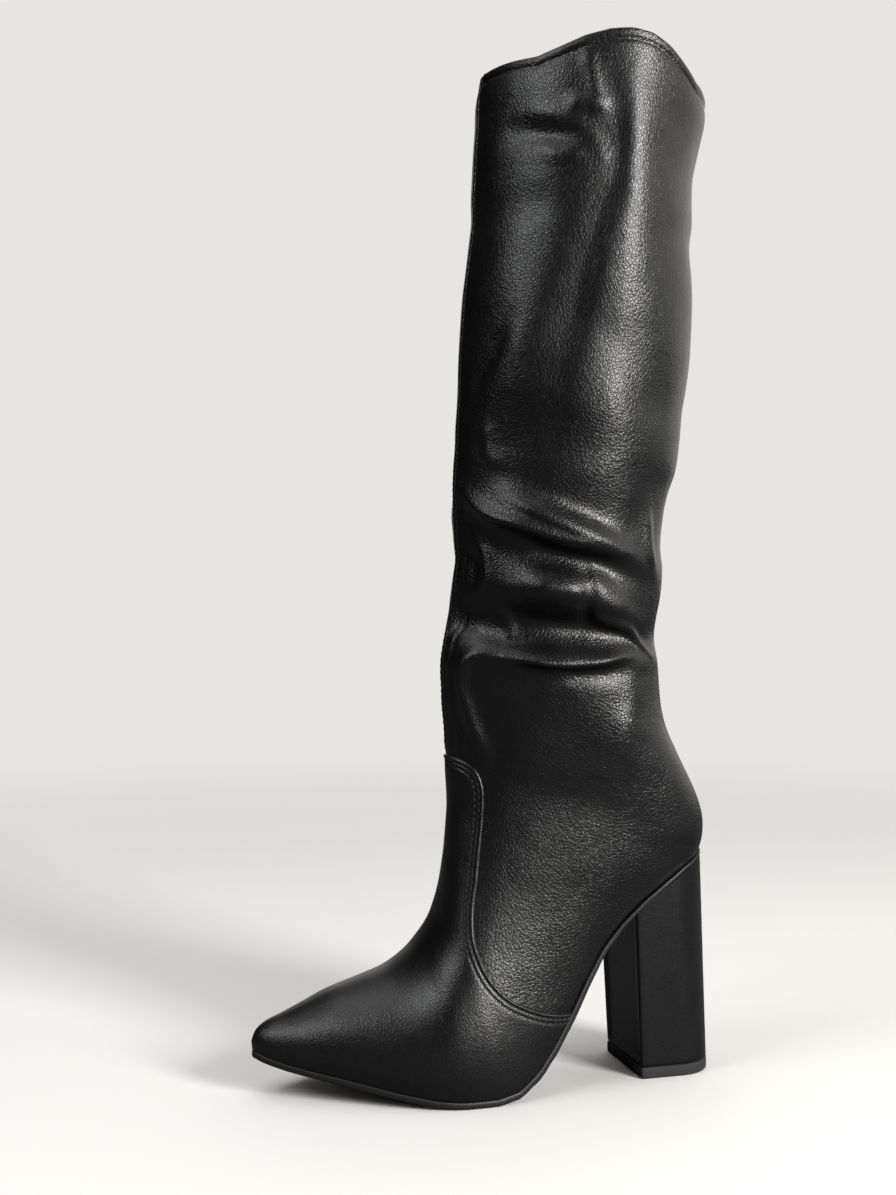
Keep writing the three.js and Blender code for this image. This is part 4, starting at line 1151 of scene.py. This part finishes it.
upper_finish = leather("upper_leather", (0.0018, 0.0018, 0.0020), (0.005, 0.005, 0.0052),
                       (0.27, 0.36), 660.0, 1.0, 2.0, 0.10)
vamp_finish = leather("vamp_leather", (0.0025, 0.0025, 0.0027), (0.006, 0.006, 0.0063), (0.29, 0.37),
                      740.0, 0.9, 1.4, 0.075)
heel_finish = leather("heel_cover", (0.0025, 0.0025, 0.0027), (0.006, 0.006, 0.0063), (0.25, 0.33),
                      800.0, 0.7, 1.4, 0.06)
lining_finish = leather("lining_leather", (0.018, 0.016, 0.015), (0.035, 0.031, 0.028), (0.6, 0.75),
                        900.0, 0.3, 0.8, 0.05)
insole_finish = leather("insole_lining", (0.022, 0.020, 0.019), (0.042, 0.038, 0.035), (0.6, 0.78),
                        800.0, 0.4, 0.6, 0.06)


def plain_finish(name, dark, light, rough, scale, depth, stretch=(1, 1, 1)):
    """Rubber, thread and painted edges: a fine uneven face, drawn out along one direction if asked."""
    made, tree, shader = start_material(name)
    mapping = add_node(tree, "ShaderNodeMapping", Vector=place_on(tree), Scale=stretch)
    fine = add_node(tree, "ShaderNodeTexNoise", Vector=mapping.outputs["Vector"], Scale=scale, Detail=5.0,
                    Roughness=0.65).outputs["Fac"]
    set_face(tree, shader, fine, (dark, light), fine, rough, fine, depth)
    return made


sole_finish = plain_finish("sole_rubber", (0.006, 0.006, 0.0066), (0.015, 0.015, 0.016), (0.34, 0.52),
                           700.0, 0.08, (1, 1, 6))
rubber_finish = plain_finish("top_piece_rubber", (0.012, 0.012, 0.013), (0.030, 0.030, 0.032), (0.6, 0.85),
                             1500.0, 0.12, (1, 1, 4))
thread_finish = plain_finish("black_thread", (0.010, 0.010, 0.011), (0.022, 0.022, 0.024), (0.5, 0.7),
                             6000.0, 0.05)

# piece, node it stands for, slot, finish
PIECES = [
    (leg_leather, "upper", "upper_leather", upper_finish),
    (vamp_leather, "vamp", "vamp_leather", vamp_finish),
    (vamp_stitches, None, "vamp_leather", thread_finish),
    (front_stitches, None, "upper_leather", thread_finish),
    (leg_lining, None, "upper_leather", lining_finish),
    (sole_leather, "outsole", "sole_rubber", sole_finish),
    (heel_cover, "heel", "heel_cover", heel_finish),
    (top_piece_rubber, "heel_top_piece", "top_piece_rubber", rubber_finish),
    (insole_pad, "insole", "insole_lining", insole_finish),
]
for piece, node, slot, finish in PIECES:
    piece.data.materials.clear()
    piece.data.materials.append(finish)
    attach(piece, "root")
    if node:
        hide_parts(node)
print(len(PIECES), "pieces dressed")

# %% [markdown]
# ## Light and floor
# Black leather shows its form only through reflections, so the lights are large and soft. The main
# one stands far on the camera's right like a tall window, a dim one fills beside it, one looks at
# the toe from in front and one hangs above. The floor is a pale disc that fades into the same tone
# as the background, so no horizon shows.

# %% Lights, floor and background
def softbox(name, place, aim, size, watts, tone=(1, 1, 1)):
    data = bpy.data.lights.new(name, "AREA")
    data.shape, data.size, data.size_y = "RECTANGLE", *size
    data.energy, data.color = watts, tone
    lamp = add_object(name, data)
    lamp.location = place
    lamp.rotation_euler = (Vector(aim) - Vector(place)).to_track_quat("-Z", "Y").to_euler()
    lamp.visible_camera = False


softbox("window_softbox", (1.35, 0.90, 0.77), (0, 0, 0.32), (0.50, 0.76), 41, (1, 0.985, 0.96))
softbox("side_softbox", (1.50, 0.22, 0.62), (0, 0, 0.25), (0.7, 0.8), 3.5, (1, 0.99, 0.97))
softbox("front_softbox", (0.36, -1.20, 1.18), (0, -0.03, 0.15), (0.65, 0.65), 9, (0.98, 0.99, 1))
softbox("top_softbox", (-0.3, -0.3, 2.6), (-0.1, -0.1, 0), (2.2, 2.2), 26)

BACKDROP = (0.80, 0.785, 0.76)
select_nothing()
bpy.ops.mesh.primitive_circle_add(vertices=96, radius=9.0, fill_type="NGON")
floor = bpy.context.object
floor.name = floor.data.name = "floor"
floor_finish, tree, shader = start_material("pale_floor")
shader.inputs["Roughness"].default_value = 0.8
rays = add_node(tree, "ShaderNodeLightPath").outputs["Is Camera Ray"]
feed(tree, ramp_between(tree, rays, (0.08, 0.08, 0.08), (0.80, 0.79, 0.77)), shader.inputs["Base Color"])
away = add_node(tree, "ShaderNodeVectorMath", operation="LENGTH", Vector=place_on(tree))
fade = add_node(tree, "ShaderNodeMapRange", interpolation_type="SMOOTHERSTEP", Value=away.outputs["Value"],
                From_Min=0.3, From_Max=1.5)
glow = add_node(tree, "ShaderNodeEmission", Strength=1.0,
                Color=ramp_between(tree, rays, (0.06, 0.06, 0.06), BACKDROP))
blend = feed_all(tree, add_node(tree, "ShaderNodeMixShader"), fade.outputs["Result"],
                 shader.outputs["BSDF"], glow.outputs["Emission"])
feed(tree, blend, tree.nodes["Material Output"].inputs["Surface"])
floor.data.materials.append(floor_finish)
floor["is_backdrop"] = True

world = bpy.data.worlds.new("pale_studio")
world.use_nodes = True
bpy.context.scene.world = world
tree = world.node_tree
backdrop = tree.nodes["Background"]
facing = add_node(tree, "ShaderNodeVectorMath", operation="DOT_PRODUCT")
feed_all(tree, facing, place_on(tree, "Generated"), (-0.5, 0.87, 0.0))
wall = add_node(tree, "ShaderNodeMapRange", interpolation_type="SMOOTHSTEP", Value=facing.outputs["Value"],
                From_Min=0.30, From_Max=0.60, To_Min=0.014, To_Max=1.2)
feed(tree, (*BACKDROP, 1), backdrop.inputs["Color"])
feed(tree, wall.outputs["Result"], backdrop.inputs["Strength"])
seen = add_node(tree, "ShaderNodeBackground", Color=(*BACKDROP, 1), Strength=1.0)
blend = feed_all(tree, add_node(tree, "ShaderNodeMixShader"),
                 add_node(tree, "ShaderNodeLightPath").outputs["Is Camera Ray"],
                 backdrop.outputs["Background"], seen.outputs["Background"])
feed(tree, blend, tree.nodes["World Output"].inputs["Surface"])
bpy.context.scene.view_settings.view_transform = "Standard"
print("lights and floor stand")

# %% [markdown]
# ## Measure and finish
# The box of the finished boot is measured and printed.

# %% Finish
low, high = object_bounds()
print("boot measures", [round(v * 1000, 1) for v in high - low], "mm")
